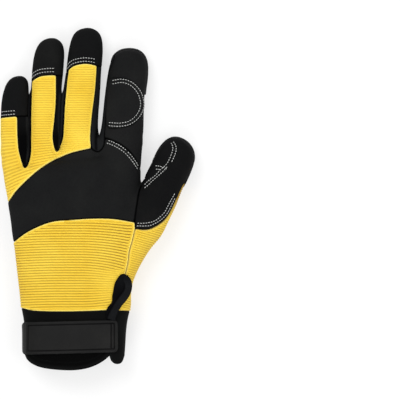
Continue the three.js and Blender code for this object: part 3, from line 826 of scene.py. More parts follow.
@dataclass(frozen=True)
class HandForm:
    """The sheet of the whole hand, before it is cut into panels."""

    cell: float = 0.95
    smoothing: int = 22
    sides: int = 56
    tip_reach: float = 0.7
    blend_reach: float = 1.25

    def tube(self, rows: Table, finger: bool) -> tuple[np.ndarray, np.ndarray]:
        """A closed tube through a table's sections.

        Args:
            rows: five columns for straight sections, six for slanted ones.
            finger: whether it is rounder than the palm and its last section ends in a tip.

        Returns:
            Corners and triangles.
        """
        table = np.asarray(rows, float)
        if table.shape[1] == 5:
            y, left, right, floor, top = table.T
            table = np.column_stack([left, y, right, y, floor, top])
        dense = flow(table, 6)
        angle = (np.arange(self.sides) + 0.5) / self.sides * 2 * math.pi
        across, upward = oval(angle, 2 / (FINGER_POWER if finger else PALM_POWER))
        start, end, heights = dense[:, 0:2], dense[:, 2:4], dense[:, 4:6]
        middle, half = (start + end) / 2, (end - start) / 2
        plan = middle[:, None] + half[:, None] * across[None, :, None]
        z = heights.mean(axis=1)[:, None] + (heights[:, 1] - heights[:, 0])[:, None] / 2 * upward[None]
        rings = np.concatenate([plan, z[..., None]], axis=2)
        along = unit(np.array([-half[-1, 1], half[-1, 0]]))
        tip = np.append(middle[-1] + along * (self.tip_reach if finger else 0), heights[-1].mean())
        base = np.append(middle[0], heights[0].mean())
        points = np.vstack([rings.reshape(-1, 3), base, tip])
        return points, tube_faces(len(dense), self.sides)

    @staticmethod
    def spread(name: str, y: np.ndarray) -> np.ndarray:
        """How far the fingers beside a parting line stand apart at a height, while meshing."""
        return FINGER_SPREAD * ease(*SPREAD_RAMPS[name], y)

    def parted(self, digit: Digit, points: np.ndarray) -> np.ndarray:
        """The corners of a finger moved aside, which gives the remesh room between fingers.

        Args:
            digit: the finger.
            points: its corners.

        Returns:
            The moved corners.
        """
        y = points[:, 1]
        moves = {
            Digit.PINKY: -self.spread("pinky_ring", y) - self.spread("ring_middle", y),
            Digit.RING: -self.spread("ring_middle", y),
            Digit.INDEX: self.spread("middle_index", y),
            Digit.THUMB: self.spread("middle_index", y),
        }
        moved = points.copy()
        moved[:, 0] += moves.get(digit, 0.0)
        return moved

    def closed_up(self, points: np.ndarray) -> np.ndarray:
        """The corners of the spread hand moved back to their places.

        Args:
            points: the hand's corners.

        Returns:
            The moved corners.
        """
        x, y = points[:, 0], points[:, 1]
        pinky_ring, ring_middle, middle_index = (self.spread(name, y) for name in SPREAD_RAMPS)
        first = column_at(PINKY_RING_PART, y) - ring_middle - pinky_ring / 2
        second = column_at(RING_MIDDLE_PART, y) - ring_middle / 2
        third = column_at(MIDDLE_INDEX_PART, y) + middle_index / 2
        beyond = [np.clip((x - line) / (2 * self.blend_reach) + 0.5, 0, 1) for line in (first, second, third)]
        shift = -pinky_ring * (1 - beyond[0]) - ring_middle * (1 - beyond[1]) + middle_index * beyond[2]
        moved = points.copy()
        moved[:, 0] -= shift
        return moved

    def build(self) -> Skin:
        """The smooth outer surface of the whole hand."""
        tables = {Digit.PINKY: PINKY, Digit.RING: RING, Digit.MIDDLE: MIDDLE, Digit.INDEX: INDEX,
                  Digit.THUMB: THUMB, Digit.PALM: PALM}
        corners, faces, total = [], [], 0
        for digit, rows in tables.items():
            points, triangles = self.tube(rows, digit is not Digit.PALM)
            corners.append(self.parted(digit, points))
            faces.append(triangles + total)
            total += len(points)
        mesh = bpy.data.meshes.new("hand_form")
        mesh.from_pydata(np.vstack(corners).tolist(), [], np.vstack(faces).tolist())
        shape = show("hand_form", mesh)
        remesh = shape.modifiers.new("Even", "REMESH")
        remesh.mode = "VOXEL"
        remesh.voxel_size = self.cell
        points, triangles, _ = outcome(shape)
        links = edge_pairs(triangles)
        for _ in range(self.smoothing):
            points = points * 0.5 + neighbour_mean(points, links) * 0.5
        skin = Skin(self.closed_up(points), triangles, np.zeros_like(points))
        skin.settle_normals()
        return skin


def tube_faces(rings: int, sides: int) -> np.ndarray:
    """Triangles between rings of corners, closed at each end by a fan round one more corner.

    Args:
        rings: how many rings there are.
        sides: how many corners each has.

    Returns:
        The triangles.
    """
    here = np.arange(sides)
    after = (here + 1) % sides
    faces = []
    for low in range(0, (rings - 1) * sides, sides):
        high = low + sides
        faces.append(np.column_stack([low + here, high + here, low + after]))
        faces.append(np.column_stack([low + after, high + here, high + after]))
    base, last = rings * sides, (rings - 1) * sides
    faces.append(np.column_stack([np.full(sides, base), here, after]))
    faces.append(np.column_stack([np.full(sides, base + 1), last + after, last + here]))
    return np.vstack(faces)


def column_at(rows: Table, y: np.ndarray) -> np.ndarray:
    """The second column of a table at each y, which is its first."""
    table = np.asarray(rows, float)
    return np.interp(y, table[:, 0], table[:, 1])


def off_partings(points: np.ndarray) -> np.ndarray:
    """How far aside each point is from the nearer of the ring finger's two parting lines."""
    x, y, _ = points.T
    return np.min([np.abs(x - column_at(rows, y)) for rows in (PINKY_RING_PART, RING_MIDDLE_PART)], axis=0)


def show(name: str, data: bpy.types.ID) -> bpy.types.Object:
    """A new object in the scene that holds the data given."""
    made = bpy.data.objects.new(name, data)
    bpy.context.scene.collection.objects.link(made)
    return made


def outcome(shape: bpy.types.Object, value: str = "") -> tuple[np.ndarray, np.ndarray, np.ndarray]:
    """Turns what an object's modifiers make into arrays, and removes the object.

    Args:
        shape: the object.
        value: the name of a value wanted at each corner.

    Returns:
        Corners, triangles and the value, which is one where the mesh hasn't got it.
    """
    made = bpy.data.meshes.new_from_object(shape.evaluated_get(bpy.context.evaluated_depsgraph_get()))
    corners, faces = mesh_arrays(made)
    amounts = np.ones(len(corners))
    if value in made.attributes:
        made.attributes[value].data.foreach_get("value", amounts)
    source = shape.data
    bpy.data.objects.remove(shape)
    bpy.data.meshes.remove(source)
    bpy.data.meshes.remove(made)
    return corners, faces, amounts


def mesh_arrays(mesh: bpy.types.Mesh) -> tuple[np.ndarray, np.ndarray]:
    """The corners and triangles of a Blender mesh.

    Args:
        mesh: the mesh.

    Returns:
        Both, as arrays.
    """
    mesh.calc_loop_triangles()
    points = np.empty(len(mesh.vertices) * 3)
    mesh.vertices.foreach_get("co", points)
    triangles = np.empty(len(mesh.loop_triangles) * 3, np.int32)
    mesh.loop_triangles.foreach_get("vertices", triangles)
    return points.reshape(-1, 3), triangles.reshape(-1, 3).astype(np.int64)


# Lines on a surface


@dataclass
class Line:
    """A line on a surface, in glove millimetres, with the surface's normal at each point."""

    points: np.ndarray
    normals: np.ndarray

    @property
    def length(self) -> float:
        """Length along the line."""
        return float(np.linalg.norm(np.diff(self.points, axis=0), axis=1).sum())

    def eased(self, rounds: int = 3) -> "Line":
        """The line with its small jags evened out and its ends kept."""
        points = self.points.copy()
        for _ in range(rounds):
            points[1:-1] = points[1:-1] * 0.5 + (points[:-2] + points[2:]) * 0.25
        return Line(points, self.normals)

    def at(self, places: np.ndarray) -> "Line":
        """The line at the distances given from its start.

        Args:
            places: the distances.

        Returns:
            The line through them.
        """
        run = np.concatenate([[0.0], np.cumsum(np.linalg.norm(np.diff(self.points, axis=0), axis=1))])
        sample = [np.interp(places, run, column) for column in np.hstack([self.points, self.normals]).T]
        table = np.column_stack(sample)
        return Line(table[:, :3], unit(table[:, 3:]))

    def stepped(self, step: float) -> "Line":
        """The line with even spacing of about the step given."""
        count = max(int(round(self.length / step)), 2)
        return self.at(np.linspace(0.0, self.length, count + 1))

    def clipped(self, kept: np.ndarray) -> "Line":
        """The longest stretch of the line whose points are all kept.

        Args:
            kept: whether each point is kept.

        Returns:
            That stretch, or an empty line.
        """
        order = np.arange(len(kept))
        closed = np.linalg.norm(self.points[0] - self.points[-1]) < 0.01
        if closed and not kept.all():
            order = np.roll(order[:-1], -int(np.argmin(kept[:-1])))
        breaks = np.flatnonzero(np.diff(np.concatenate([[0], kept[order].astype(int), [0]])))
        spans = breaks.reshape(-1, 2)
        if not len(spans):
            return Line(self.points[:0], self.normals[:0])
        first, last = spans[np.argmax(spans[:, 1] - spans[:, 0])]
        return Line(self.points[order[first:last]], self.normals[order[first:last]])


def trace(skin: Skin, value: np.ndarray, level: float, least: float = 3.0) -> list[Line]:
    """The lines along which a value on a surface has one level.

    Args:
        skin: the surface.
        value: a number for each corner.
        level: the number along the line.
        least: shorter lines than this are left out.

    Returns:
        The lines, each in order.
    """
    above = value[skin.faces] > level
    mixed = above.any(axis=1) & ~above.all(axis=1)
    faces, above = skin.faces[mixed], above[mixed]
    if not len(faces):
        return []
    turned = odd_first(faces, above)
    crossing = np.sort(np.vstack([turned[:, [0, 1]], turned[:, [0, 2]]]), axis=1)
    edges, index = np.unique(crossing, axis=0, return_inverse=True)
    index = index.reshape(2, -1)
    low, high = value[edges[:, 0]] - level, value[edges[:, 1]] - level
    share = (low / (low - high))[:, None]
    points = skin.points[edges[:, 0]] * (1 - share) + skin.points[edges[:, 1]] * share
    normals = unit(skin.normals[edges[:, 0]] * (1 - share) + skin.normals[edges[:, 1]] * share)
    beside: dict[int, list[int]] = {}
    for a, b in index.T.tolist():
        beside.setdefault(a, []).append(b)
        beside.setdefault(b, []).append(a)
    lines = []
    starts = sorted(beside, key=lambda place: len(beside[place]) != 1)
    seen: set[int] = set()
    for start in starts:
        if start in seen:
            continue
        chain = [start]
        seen.add(start)
        while True:
            onward = [place for place in beside[chain[-1]] if place not in seen]
            if not onward:
                break
            chain.append(onward[0])
            seen.add(onward[0])
        if len(beside[start]) == 2 and len(chain) > 3 and start in beside[chain[-1]]:
            chain.append(start)
        line = Line(points[chain], normals[chain])
        if len(chain) > 2 and line.length >= least:
            lines.append(line)
    return lines


class Ground:
    """Finds the surface below a place in plan."""

    def __init__(self, skin: Skin) -> None:
        """Keeps the skin and a search tree of its faces."""
        self.skin = skin
        self.tree = BVHTree.FromPolygons(skin.points.tolist(), skin.faces.tolist(), all_triangles=True)

    def line(self, rows: Table, step: float = 0.8) -> Line:
        """A line given in plan by its turns, laid on the surface at even steps.

        Args:
            rows: x and y at each turn.
            step: the spacing of its points.

        Returns:
            The line.
        """
        dense = flow(rows, 12)
        plan = Line(np.column_stack([dense, np.zeros(len(dense))]), np.zeros((len(dense), 3))).stepped(step)
        return self.raised(plan.points[:, :2], np.zeros(len(plan.points)))

    def raised(self, plan: np.ndarray, height: np.ndarray) -> Line:
        """Places given in plan, at the heights given over the back of the surface.

        Args:
            plan: x and y of each place.
            height: each place's height.

        Returns:
            A line of the places that have the surface below them.
        """
        places, normals = [], []
        for (x, y), lift in zip(plan, height):
            place, _, face, _ = self.tree.ray_cast(Vector((x, y, OVER_ALL)), Vector((0, 0, -1)))
            if place is None:
                continue
            normal = unit(self.skin.normals[self.skin.faces[face]].mean(axis=0))
            places.append(np.array(place) + normal * lift)
            normals.append(normal)
        return Line(np.array(places), np.array(normals))


# Node trees that repeat small parts


class Graph:
    """A node tree laid out by short calls."""

    def __init__(self, tree: bpy.types.NodeTree) -> None:
        """Keeps the tree."""
        self.tree = tree

    def node(self, kind: str, inputs: dict[str | int, object] | None = None,
             **settings: object) -> bpy.types.Node:
        """Adds a node.

        Args:
            kind: the node's type name.
            inputs: what each input gets, a value or another node's output.
            settings: the node's own settings.

        Returns:
            The new node.
        """
        fresh = self.tree.nodes.new(kind)
        for name, value in settings.items():
            setattr(fresh, name, value)
        for key, value in (inputs or {}).items():
            if isinstance(value, bpy.types.NodeSocket):
                self.tree.links.new(value, fresh.inputs[key])
            else:
                fresh.inputs[key].default_value = value
        return fresh

    def sum_of(self, operation: str, *terms: object) -> bpy.types.NodeSocket:
        """The result of a Math node."""
        return self.node("ShaderNodeMath", dict(enumerate(terms)), operation=operation).outputs[0]

    def noise(self, scale: float, detail: float = 2.0, roughness: float = 0.5) -> bpy.types.Node:
        """A noise texture laid on the piece's own coordinates."""
        place = self.node("ShaderNodeTexCoord")
        return self.node("ShaderNodeTexNoise", {
            "Vector": place.outputs["Object"], "Scale": scale, "Detail": detail, "Roughness": roughness,
        })

    def bent_place(self, scale: float, amount: float) -> bpy.types.NodeSocket:
        """The piece's own coordinates, bent by noise of a scale, by an amount in metres.

        Args:
            scale: the noise's scale.
            amount: the most that they move.

        Returns:
            The bent coordinates.
        """
        place = self.node("ShaderNodeTexCoord").outputs["Object"]
        wobble = {0: self.noise(scale).outputs["Color"], "Scale": amount}
        bend = self.node("ShaderNodeVectorMath", wobble, operation="SCALE").outputs[0]
        return self.node("ShaderNodeVectorMath", {0: place, 1: bend}, operation="ADD").outputs[0]


def add_sockets(tree: bpy.types.NodeTree, way: str, sockets: dict[str, str]) -> dict[str, str]:
    """Adds named sockets to a tree and returns each one's identifier."""
    return {
        name: tree.interface.new_socket(name, in_out=way, socket_type=kind).identifier
        for name, kind in sockets.items()
    }


@dataclass(frozen=True)
class Repeater:
    """A node tree and the identifiers of its inputs."""

    tree: bpy.types.NodeTree
    inputs: dict[str, str]

    def run(self, points: np.ndarray, edges: np.ndarray, vectors: dict[str, np.ndarray],
            settings: dict[str, object]) -> Body:
        """Runs the tree over points or lines and gives back what it makes.

        Args:
            points: the places, in glove millimetres.
            edges: pairs of points that a line joins, if any.
            vectors: named directions or sizes at each point.
            settings: a value for each of the tree's named inputs.

        Returns:
            The body made, in glove millimetres.
        """
        mesh = bpy.data.meshes.new("guide")
        mesh.from_pydata(to_frame(points).tolist(), edges.tolist(), [])
        for name, amounts in vectors.items():
            kind, key = ("FLOAT_VECTOR", "vector") if amounts.ndim == 2 else ("FLOAT", "value")
            layer = mesh.attributes.new(name, kind, "POINT")
            layer.data.foreach_set(key, np.ascontiguousarray(amounts, np.float32).reshape(-1))
        guide = show("guide", mesh)
        modifier = guide.modifiers.new("Repeat", "NODES")
        modifier.node_group = self.tree
        for name, value in settings.items():
            modifier[self.inputs[name]] = value
        corners, faces, rise = outcome(guide, "rise")
        # Painted shade on each rib: full on its lower half, fading to none at its crest
        return Body(from_frame(corners), faces, np.full(len(corners), INNER), 1 - ease(0.0, 1.0, rise))


class RepeaterGraph(Graph):
    """A geometry tree with named inputs, whose end makes its instances real and dresses them."""

    def __init__(self, name: str, feed: str, sizes: Sequence[str]) -> None:
        """Makes the tree and its sockets.

        Args:
            name: the tree's name.
            feed: the name of the input that takes points or lines.
            sizes: the names of the inputs that take a size.
        """
        super().__init__(bpy.data.node_groups.new(name, "GeometryNodeTree"))
        self.inputs = add_sockets(self.tree, "INPUT", {
            feed: "NodeSocketGeometry",
            **dict.fromkeys(sizes, "NodeSocketFloat"),
            "Finish": "NodeSocketMaterial",
        })
        add_sockets(self.tree, "OUTPUT", {"Parts": "NodeSocketGeometry"})
        self.start = self.node("NodeGroupInput").outputs

    def stored(self, name: str, kind: str = "FLOAT_VECTOR") -> bpy.types.NodeSocket:
        """A named direction or value of the points."""
        return self.node("GeometryNodeInputNamedAttribute", {"Name": name}, data_type=kind).outputs[0]

    def finished(self, parts: bpy.types.NodeSocket) -> Repeater:
        """Ends the tree with the parts given.

        Args:
            parts: the instances or the mesh.

        Returns:
            The tree and its inputs.
        """
        real = self.node("GeometryNodeRealizeInstances", {"Geometry": parts}).outputs[0]
        dressed = self.node("GeometryNodeSetMaterial", {"Geometry": real, "Material": self.start["Finish"]})
        self.node("NodeGroupOutput", {"Parts": dressed.outputs[0]})
        return Repeater(self.tree, self.inputs)


def stitch_repeater() -> Repeater:
    """Lays one small thread on each point, along the seam and sunk a little in the leather."""
    graph = RepeaterGraph("lockstitch", "Points", ("Stitch Length", "Thread Radius"))
    radius = graph.start["Thread Radius"]
    turn = graph.node("FunctionNodeAxesToRotation", {0: graph.stored("up"), 1: graph.stored("along")},
                      primary_axis="Z", secondary_axis="X")
    thread = graph.node("GeometryNodeMeshUVSphere", {"Segments": 6, "Rings": 5, "Radius": 1.0})
    half = graph.sum_of("MULTIPLY", graph.start["Stitch Length"], 0.5)
    size = graph.node("ShaderNodeCombineXYZ", {"X": half, "Y": radius, "Z": radius})
    lift = graph.node("ShaderNodeCombineXYZ", {"Z": graph.sum_of("MULTIPLY", radius, 0.25)})
    lying = graph.node("GeometryNodeTransform", {
        "Geometry": thread.outputs["Mesh"], "Rotation": (0, math.pi / 2, 0),
    })
    shaped = graph.node("GeometryNodeTransform", {
        "Geometry": lying.outputs[0], "Scale": size.outputs[0], "Translation": lift.outputs[0],
    })
    placed = graph.node("GeometryNodeInstanceOnPoints", {
        "Points": graph.start["Points"], "Instance": shaped.outputs[0], "Rotation": turn.outputs[0],
    })
    return graph.finished(placed.outputs[0])


def rib_repeater() -> Repeater:
    """Sweeps a flat oval along each line, narrower where the line's width says so.

    The mesh keeps how high up the oval each corner is, from -1 to 1, as the value named rise.
    """
    graph = RepeaterGraph("knit_ribs", "Lines", ("Half Width", "Half Height"))
    curve = graph.node("GeometryNodeMeshToCurve", {0: graph.start["Lines"]})
    turned = graph.node("GeometryNodeSetCurveNormal", {0: curve.outputs[0], "Normal": graph.stored("up")},
                        mode="FREE")
    sized = graph.node("GeometryNodeSetCurveRadius", {
        0: turned.outputs[0], "Radius": graph.stored("width", "FLOAT"),
    })
    ring = graph.node("GeometryNodeCurvePrimitiveCircle", {"Resolution": 8, "Radius": 1.0})
    size = graph.node("ShaderNodeCombineXYZ", {
        "X": graph.start["Half Height"], "Y": graph.start["Half Width"], "Z": 1.0,
    })
    place = graph.node("ShaderNodeSeparateXYZ", {0: graph.node("GeometryNodeInputPosition").outputs[0]})
    marked = graph.node("GeometryNodeStoreNamedAttribute", {
        "Geometry": ring.outputs[0], "Name": "rise", "Value": place.outputs[0],
    }, data_type="FLOAT", domain="POINT")
    profile = graph.node("GeometryNodeTransform", {"Geometry": marked.outputs[0], "Scale": size.outputs[0]})
    swept = graph.node("GeometryNodeCurveToMesh", {
        0: sized.outputs[0], 1: profile.outputs[0], "Fill Caps": True,
    })
    return graph.finished(swept.outputs[0])


# Where each panel lies


class Layout:
    """Distances over the sheet, in millimetres and positive inside, for every panel and patch."""

    def __init__(self, skin: Skin) -> None:
        """Works out the distances of the panels.

        Args:
            skin: the whole hand's outer surface.
        """
        self.skin = skin
        x, y, z = skin.points.T
        self.digit = self._digits(x, y)
        over = ease(SIDE_SEAM_Z - SIDE_BLEND, SIDE_SEAM_Z + SIDE_BLEND, z)
        back = skin.on_surface(z - SIDE_SEAM_Z)
        gusset, cuff = (self.plan(under) * (1 - over) + self.plan(upper) * over for under, upper in (
            (region_right_of(GUSSET_PALM_SEAM), region_right_of(GUSSET_BACK_SEAM, THUMB_LOWER_SEAM)),
            (region_to(-FAR, CUFF_PALM_SEAM), region_to(-FAR, CUFF_BACK_SEAM)),
        ))
        hand = np.minimum(-gusset, -cuff)
        self.fields: dict[str, np.ndarray] = {
            "thumb_gusset": np.minimum(gusset, -cuff),
            "palm_panel": np.minimum(-back, hand),
        }
        self.seams: dict[str, np.ndarray] = {}
        left = np.minimum(back, hand)
        fingers = (Digit.PINKY, Digit.RING, Digit.MIDDLE)
        claims = (
            ("thumb_back", self._thumb_outline(), ()),
            ("pinky_cap", region_to(ABOVE_TIPS, PINKY_TIP_SEAM), (Digit.PINKY,)),
            ("ring_cap", region_to(ABOVE_TIPS, RING_TIP_SEAM), (Digit.RING,)),
            ("middle_cap", region_to(ABOVE_TIPS, MIDDLE_TIP_SEAM), (Digit.MIDDLE,)),
            ("pinky_ring_fourchette", flow(PINKY_RING_SIDES), ()),
            ("ring_middle_fourchette", flow(RING_MIDDLE_SIDES), ()),
            ("middle_index_fourchette", flow(MIDDLE_INDEX_SIDES), ()),
            ("index_back", region_to(ABOVE_TIPS, INDEX_BASE_SEAM), (Digit.INDEX,)),
            ("back_upper_panel", region_to(ABOVE_TIPS, UPPER_BACK_SEAM), (Digit.PALM, *fingers)),
            ("back_lower_panel", region_to(-FAR, LOWER_BACK_SEAM), ()),
        )
        for name, outline, digits in claims:
            own = self.plan(outline)
            if digits:
                own = np.where(self.belongs(digits), own, NOWHERE)
            self.seams[name] = own
            self.fields[name] = np.minimum(own, left)
            left = np.minimum(left, -own)
        self.fields["knuckle_band"] = left
        self._wrist(x, back, cuff)

    def _wrist(self, x: np.ndarray, back: np.ndarray, cuff: np.ndarray) -> None:
        """Adds the cuff, its hem and its loose flap.

        Args:
            x: the x of each corner.
            back: each corner's distance above the side seam.
            cuff: each corner's distance inside the cuff.
        """
        hem_top = self.plan(region_to(FAR, [(px, py + HEM_HEIGHT) for px, py in CUFF_END]))
        end = self.plan(region_to(FAR, CUFF_END))
        flap_end = self.plan(region_to(FAR, FLAP_END))
        flap = np.minimum(self.skin.on_surface(x - FLAP_SLIT_X), back)
        self.fields["cuff"] = np.minimum(np.minimum(cuff, hem_top), -flap)
        self.fields["cuff_hem"] = np.minimum(np.minimum(cuff, -hem_top), np.minimum(end, -flap))
        self.fields["cuff_flap"] = np.minimum(np.minimum(flap, flap_end), cuff)
        self.seams["cuff_hem"] = end

    @staticmethod
    def _digits(x: np.ndarray, y: np.ndarray) -> np.ndarray:
        """The digit of each corner."""
        lines = [column_at(rows, y) for rows in
                 (PINKY_RING_PART, RING_MIDDLE_PART, MIDDLE_INDEX_PART, INDEX_THUMB_PART)]
        digit = 1 + sum((x > line).astype(int) for line in lines)
        return np.where(y < INDEX_THUMB_PART[0][0], Digit.PALM.value, digit)

    @staticmethod
    def _thumb_outline() -> np.ndarray:
        """The back of the thumb in plan."""
        parting = [(px, py) for py, px in INDEX_THUMB_PART[:0:-1]]
        return np.vstack([flow(THUMB_ROOT_SEAM), flow(THUMB_LOWER_SEAM)[1:], [(FAR, 22), (FAR, 80)], parting])

    def belongs(self, digits: Iterable[Digit]) -> np.ndarray:
        """Whether each corner belongs to one of the digits."""
        return np.isin(self.digit, [digit.value for digit in digits])

    def plan(self, outline: np.ndarray) -> np.ndarray:
        """Distance along the surface to an outline given in plan."""
        return self.skin.on_surface(inside_distance(self.skin.points, outline))

    def cut(self, name: str, margin: float) -> Skin:
        """A panel's outer surface, cut back from its seams by a margin."""
        return self.cut_field(self.fields[name], margin)

    def cut_field(self, distance: np.ndarray, margin: float, **values: np.ndarray) -> Skin:
        """The surface where a distance is over a margin, with that distance and other values kept on it."""
        skin = Skin(self.skin.points, self.skin.faces, self.skin.normals, {"edge": distance, **values})
        return skin.keep(distance, margin).main_part()



# Finishes


Colour = tuple[float, float, float, float]


def tone(red: float, green: float, blue: float) -> Colour:
    """A screen colour, 0 to 255 each, as the linear colour that a shader takes."""
    shares = [part / 255 for part in (red, green, blue)]
    linear = [share / 12.92 if share <= 0.04045 else ((share + 0.055) / 1.055) ** 2.4 for share in shares]
    return (*linear, 1.0)


# Roughness of what lies in shade and of the sheen, and the colour of dust
MATT = 0.95
SHEEN_ROUGHNESS = 0.45
DUST = tone(150, 146, 138)


class Pattern(Enum):
    """The fine patterns of the finishes: the name of each one's shader group and of its scale."""

    GRAIN = ("pebble_grain", "Cells")
    LOOPS = ("knit_loops", "Rows")
    TWILL = ("tape_twill", "Yarns")


class EffectGraph(Graph):
    """A shader group with one input."""

    def __init__(self, name: str, feed: str, *results: str) -> None:
        """Makes the group and its sockets.

        Args:
            name: the group's name.
            feed: the name of its input.
            results: the names of its outputs.
        """
        super().__init__(bpy.data.node_groups.new(name, "ShaderNodeTree"))
        add_sockets(self.tree, "INPUT", {feed: "NodeSocketFloat"})
        add_sockets(self.tree, "OUTPUT", dict.fromkeys(results, "NodeSocketFloat"))
        self.start = self.node("NodeGroupInput").outputs[0]

    def wave(self, place: bpy.types.NodeSocket) -> bpy.types.NodeSocket:
        """A sine wave over a place, as close as the input says."""
        return self.sum_of("SINE", self.sum_of("MULTIPLY", place, self.start))

    def finished(self, **results: bpy.types.NodeSocket) -> bpy.types.NodeTree:
        """Ends the group with the results given."""
        self.node("NodeGroupOutput", results)
        return self.tree


class SurfaceEffects:
    """Shader groups that several finishes share."""

    def __init__(self) -> None:
        """Builds the groups once."""
        self.patterns = {
            Pattern.GRAIN: self._grain(), Pattern.LOOPS: self._loops(), Pattern.TWILL: self._twill(),
        }
        self.seam = self._seam()
        self.dust = self._dust()

    @staticmethod
    def _grain() -> bpy.types.NodeTree:
        """Pebbled leather: rounded cells with fine pores between soft swells."""
        graph = EffectGraph(*Pattern.GRAIN.value, "Height", "Tone")
        cells = graph.node("ShaderNodeTexVoronoi", {
            "Vector": graph.bent_place(420.0, 0.0011), "Scale": graph.start,
        }, feature="SMOOTH_F1")
        dome = graph.sum_of("SUBTRACT", 1.0, cells.outputs["Distance"])
        pores = graph.noise(2600.0, 3.0).outputs[0]
        swell = graph.sum_of("MULTIPLY", graph.noise(55.0, 4.0).outputs[0], 0.65)
        return graph.finished(Height=graph.sum_of("MULTIPLY_ADD", pores, 0.25, dome),
                              Tone=graph.sum_of("MULTIPLY_ADD", dome, 0.35, swell))

    @staticmethod
    def _loops() -> bpy.types.NodeTree:
        """Fine knit: rows of small loops that bulge a little."""
        graph = EffectGraph(*Pattern.LOOPS.value, "Height", "Tone")
        parts = graph.node("ShaderNodeSeparateXYZ", {0: graph.bent_place(300.0, 0.0006)}).outputs
        climb = graph.sum_of("ADD", parts[1], parts[2])
        loop = graph.sum_of("MULTIPLY", graph.wave(parts[0]), graph.wave(climb))
        fuzz, cloud = graph.noise(3800.0).outputs[0], graph.noise(40.0, 5.0).outputs[0]
        return graph.finished(Height=graph.sum_of("MULTIPLY_ADD", fuzz, 0.8, loop),
                              Tone=graph.sum_of("MULTIPLY_ADD", loop, 0.12, cloud))

    @staticmethod
    def _twill() -> bpy.types.NodeTree:
        """Woven tape: slanting yarns crossed by a finer set."""
        graph = EffectGraph(*Pattern.TWILL.value, "Height", "Tone")
        place = graph.node("ShaderNodeTexCoord").outputs["Object"]
        parts = graph.node("ShaderNodeSeparateXYZ", {0: place}).outputs
        slant = graph.sum_of("MULTIPLY_ADD", parts[1], 0.7, parts[0])
        other = graph.sum_of("SUBTRACT", parts[1], graph.sum_of("MULTIPLY", parts[0], 0.4))
        cross = graph.sum_of("MULTIPLY", graph.wave(other), 0.6)
        return graph.finished(Height=graph.sum_of("MAXIMUM", graph.wave(slant), cross),
                              Tone=graph.noise(90.0, 3.0).outputs[0])

    @staticmethod
    def _seam() -> bpy.types.NodeTree:
        """How near a point is to its piece's edge: one at the edge, falling off inside."""
        # The finishes paint their edge highlight and edge shade by this nearness
        graph = EffectGraph("seam_nearness", "Reach", "Nearness")
        edge = graph.node("ShaderNodeAttribute", attribute_name="edge").outputs["Fac"]
        share = graph.node("ShaderNodeMapRange", {
            "Value": edge, "From Min": 0.0, "From Max": graph.start, "To Min": 1.0, "To Max": 0.0,
        }, interpolation_type="SMOOTHSTEP")
        return graph.finished(Nearness=share.outputs[0])

    @staticmethod
    def _dust() -> bpy.types.NodeTree:
        """Faint handling marks in uneven clouds."""
        graph = EffectGraph("handling_dust", "Amount", "Dust")
        clouds = graph.noise(24.0, 6.0, 0.65).outputs[0]
        share = graph.node("ShaderNodeMapRange", {"Value": clouds, "From Min": 0.45, "From Max": 0.8})
        return graph.finished(Dust=graph.sum_of("MULTIPLY", share.outputs[0], graph.start))


@dataclass(frozen=True)
class Finish:
    """A surface finish: two colours that a pattern mixes, a roughness range and a relief."""

    name: str
    light: Colour
    dark: Colour
    roughness: tuple[float, float]
    pattern: Pattern
    pattern_scale: float
    relief: float
    # Colour painted near the edge: a painted highlight on the yellow knit and the cuff cloth, painted shade
    # on the others
    rim: Colour | None = None
    rim_reach: float = 1.6
    # Colour of full painted shade, mixed in by each corner's shade value
    shaded: Colour | None = None
    dust: float = 0.0
    specular: float = 0.3
    sheen: float = 0.0

    def build(self, effects: SurfaceEffects) -> bpy.types.Material:
        """Makes the material.

        Args:
            effects: the shared shader groups.

        Returns:
            The material.
        """
        material = bpy.data.materials.new(self.name)
        material.use_nodes = True
        graph = Graph(material.node_tree)
        graph.tree.nodes.clear()
        pattern = graph.node("ShaderNodeGroup", {self.pattern.value[1]: self.pattern_scale},
                             node_tree=effects.patterns[self.pattern]).outputs
        spread = graph.node("ShaderNodeMapRange", {
            "Value": pattern["Tone"], "From Min": 0.25, "From Max": 0.8,
        }).outputs[0]
        rough = graph.node("ShaderNodeMapRange", {
            "Value": spread, "To Min": self.roughness[1], "To Max": self.roughness[0],
        }).outputs[0]
        colour = self._mix(graph, spread, self.dark, self.light)
        # Painted edge highlight and edge shade, by the rim colour
        if self.rim:
            near = graph.node("ShaderNodeGroup", {"Reach": self.rim_reach}, node_tree=effects.seam)
            colour = self._mix(graph, near.outputs[0], colour, self.rim)
        # Painted shade by the shade value; what lies in it also turns matt
        if self.shaded:
            depth = graph.node("ShaderNodeAttribute", attribute_name="shade").outputs["Fac"]
            colour = self._mix(graph, depth, colour, self.shaded)
            matter = graph.sum_of("SUBTRACT", MATT, rough)
            rough = graph.sum_of("MULTIPLY_ADD", depth, matter, rough)
        if self.dust:
            dusty = graph.node("ShaderNodeGroup", {"Amount": self.dust}, node_tree=effects.dust)
            colour = self._mix(graph, dusty.outputs[0], colour, DUST)
        bump = graph.node("ShaderNodeBump", {
            "Height": pattern["Height"], "Strength": 1.0, "Distance": self.relief * MM,
        })
        shader = graph.node("ShaderNodeBsdfPrincipled", {
            "Base Color": colour, "Roughness": rough, "Normal": bump.outputs[0],
            "Specular IOR Level": self.specular,
            "Sheen Weight": self.sheen, "Sheen Roughness": SHEEN_ROUGHNESS,
        })
        graph.node("ShaderNodeOutputMaterial", {"Surface": shader.outputs[0]})
        return material

    @staticmethod
    def _mix(graph: Graph, share: object, first: object, second: object) -> bpy.types.NodeSocket:
        """One colour turning into another by a share."""
        mix = graph.node("ShaderNodeMix", {0: share, 6: first, 7: second}, data_type="RGBA")
        return mix.outputs[2]


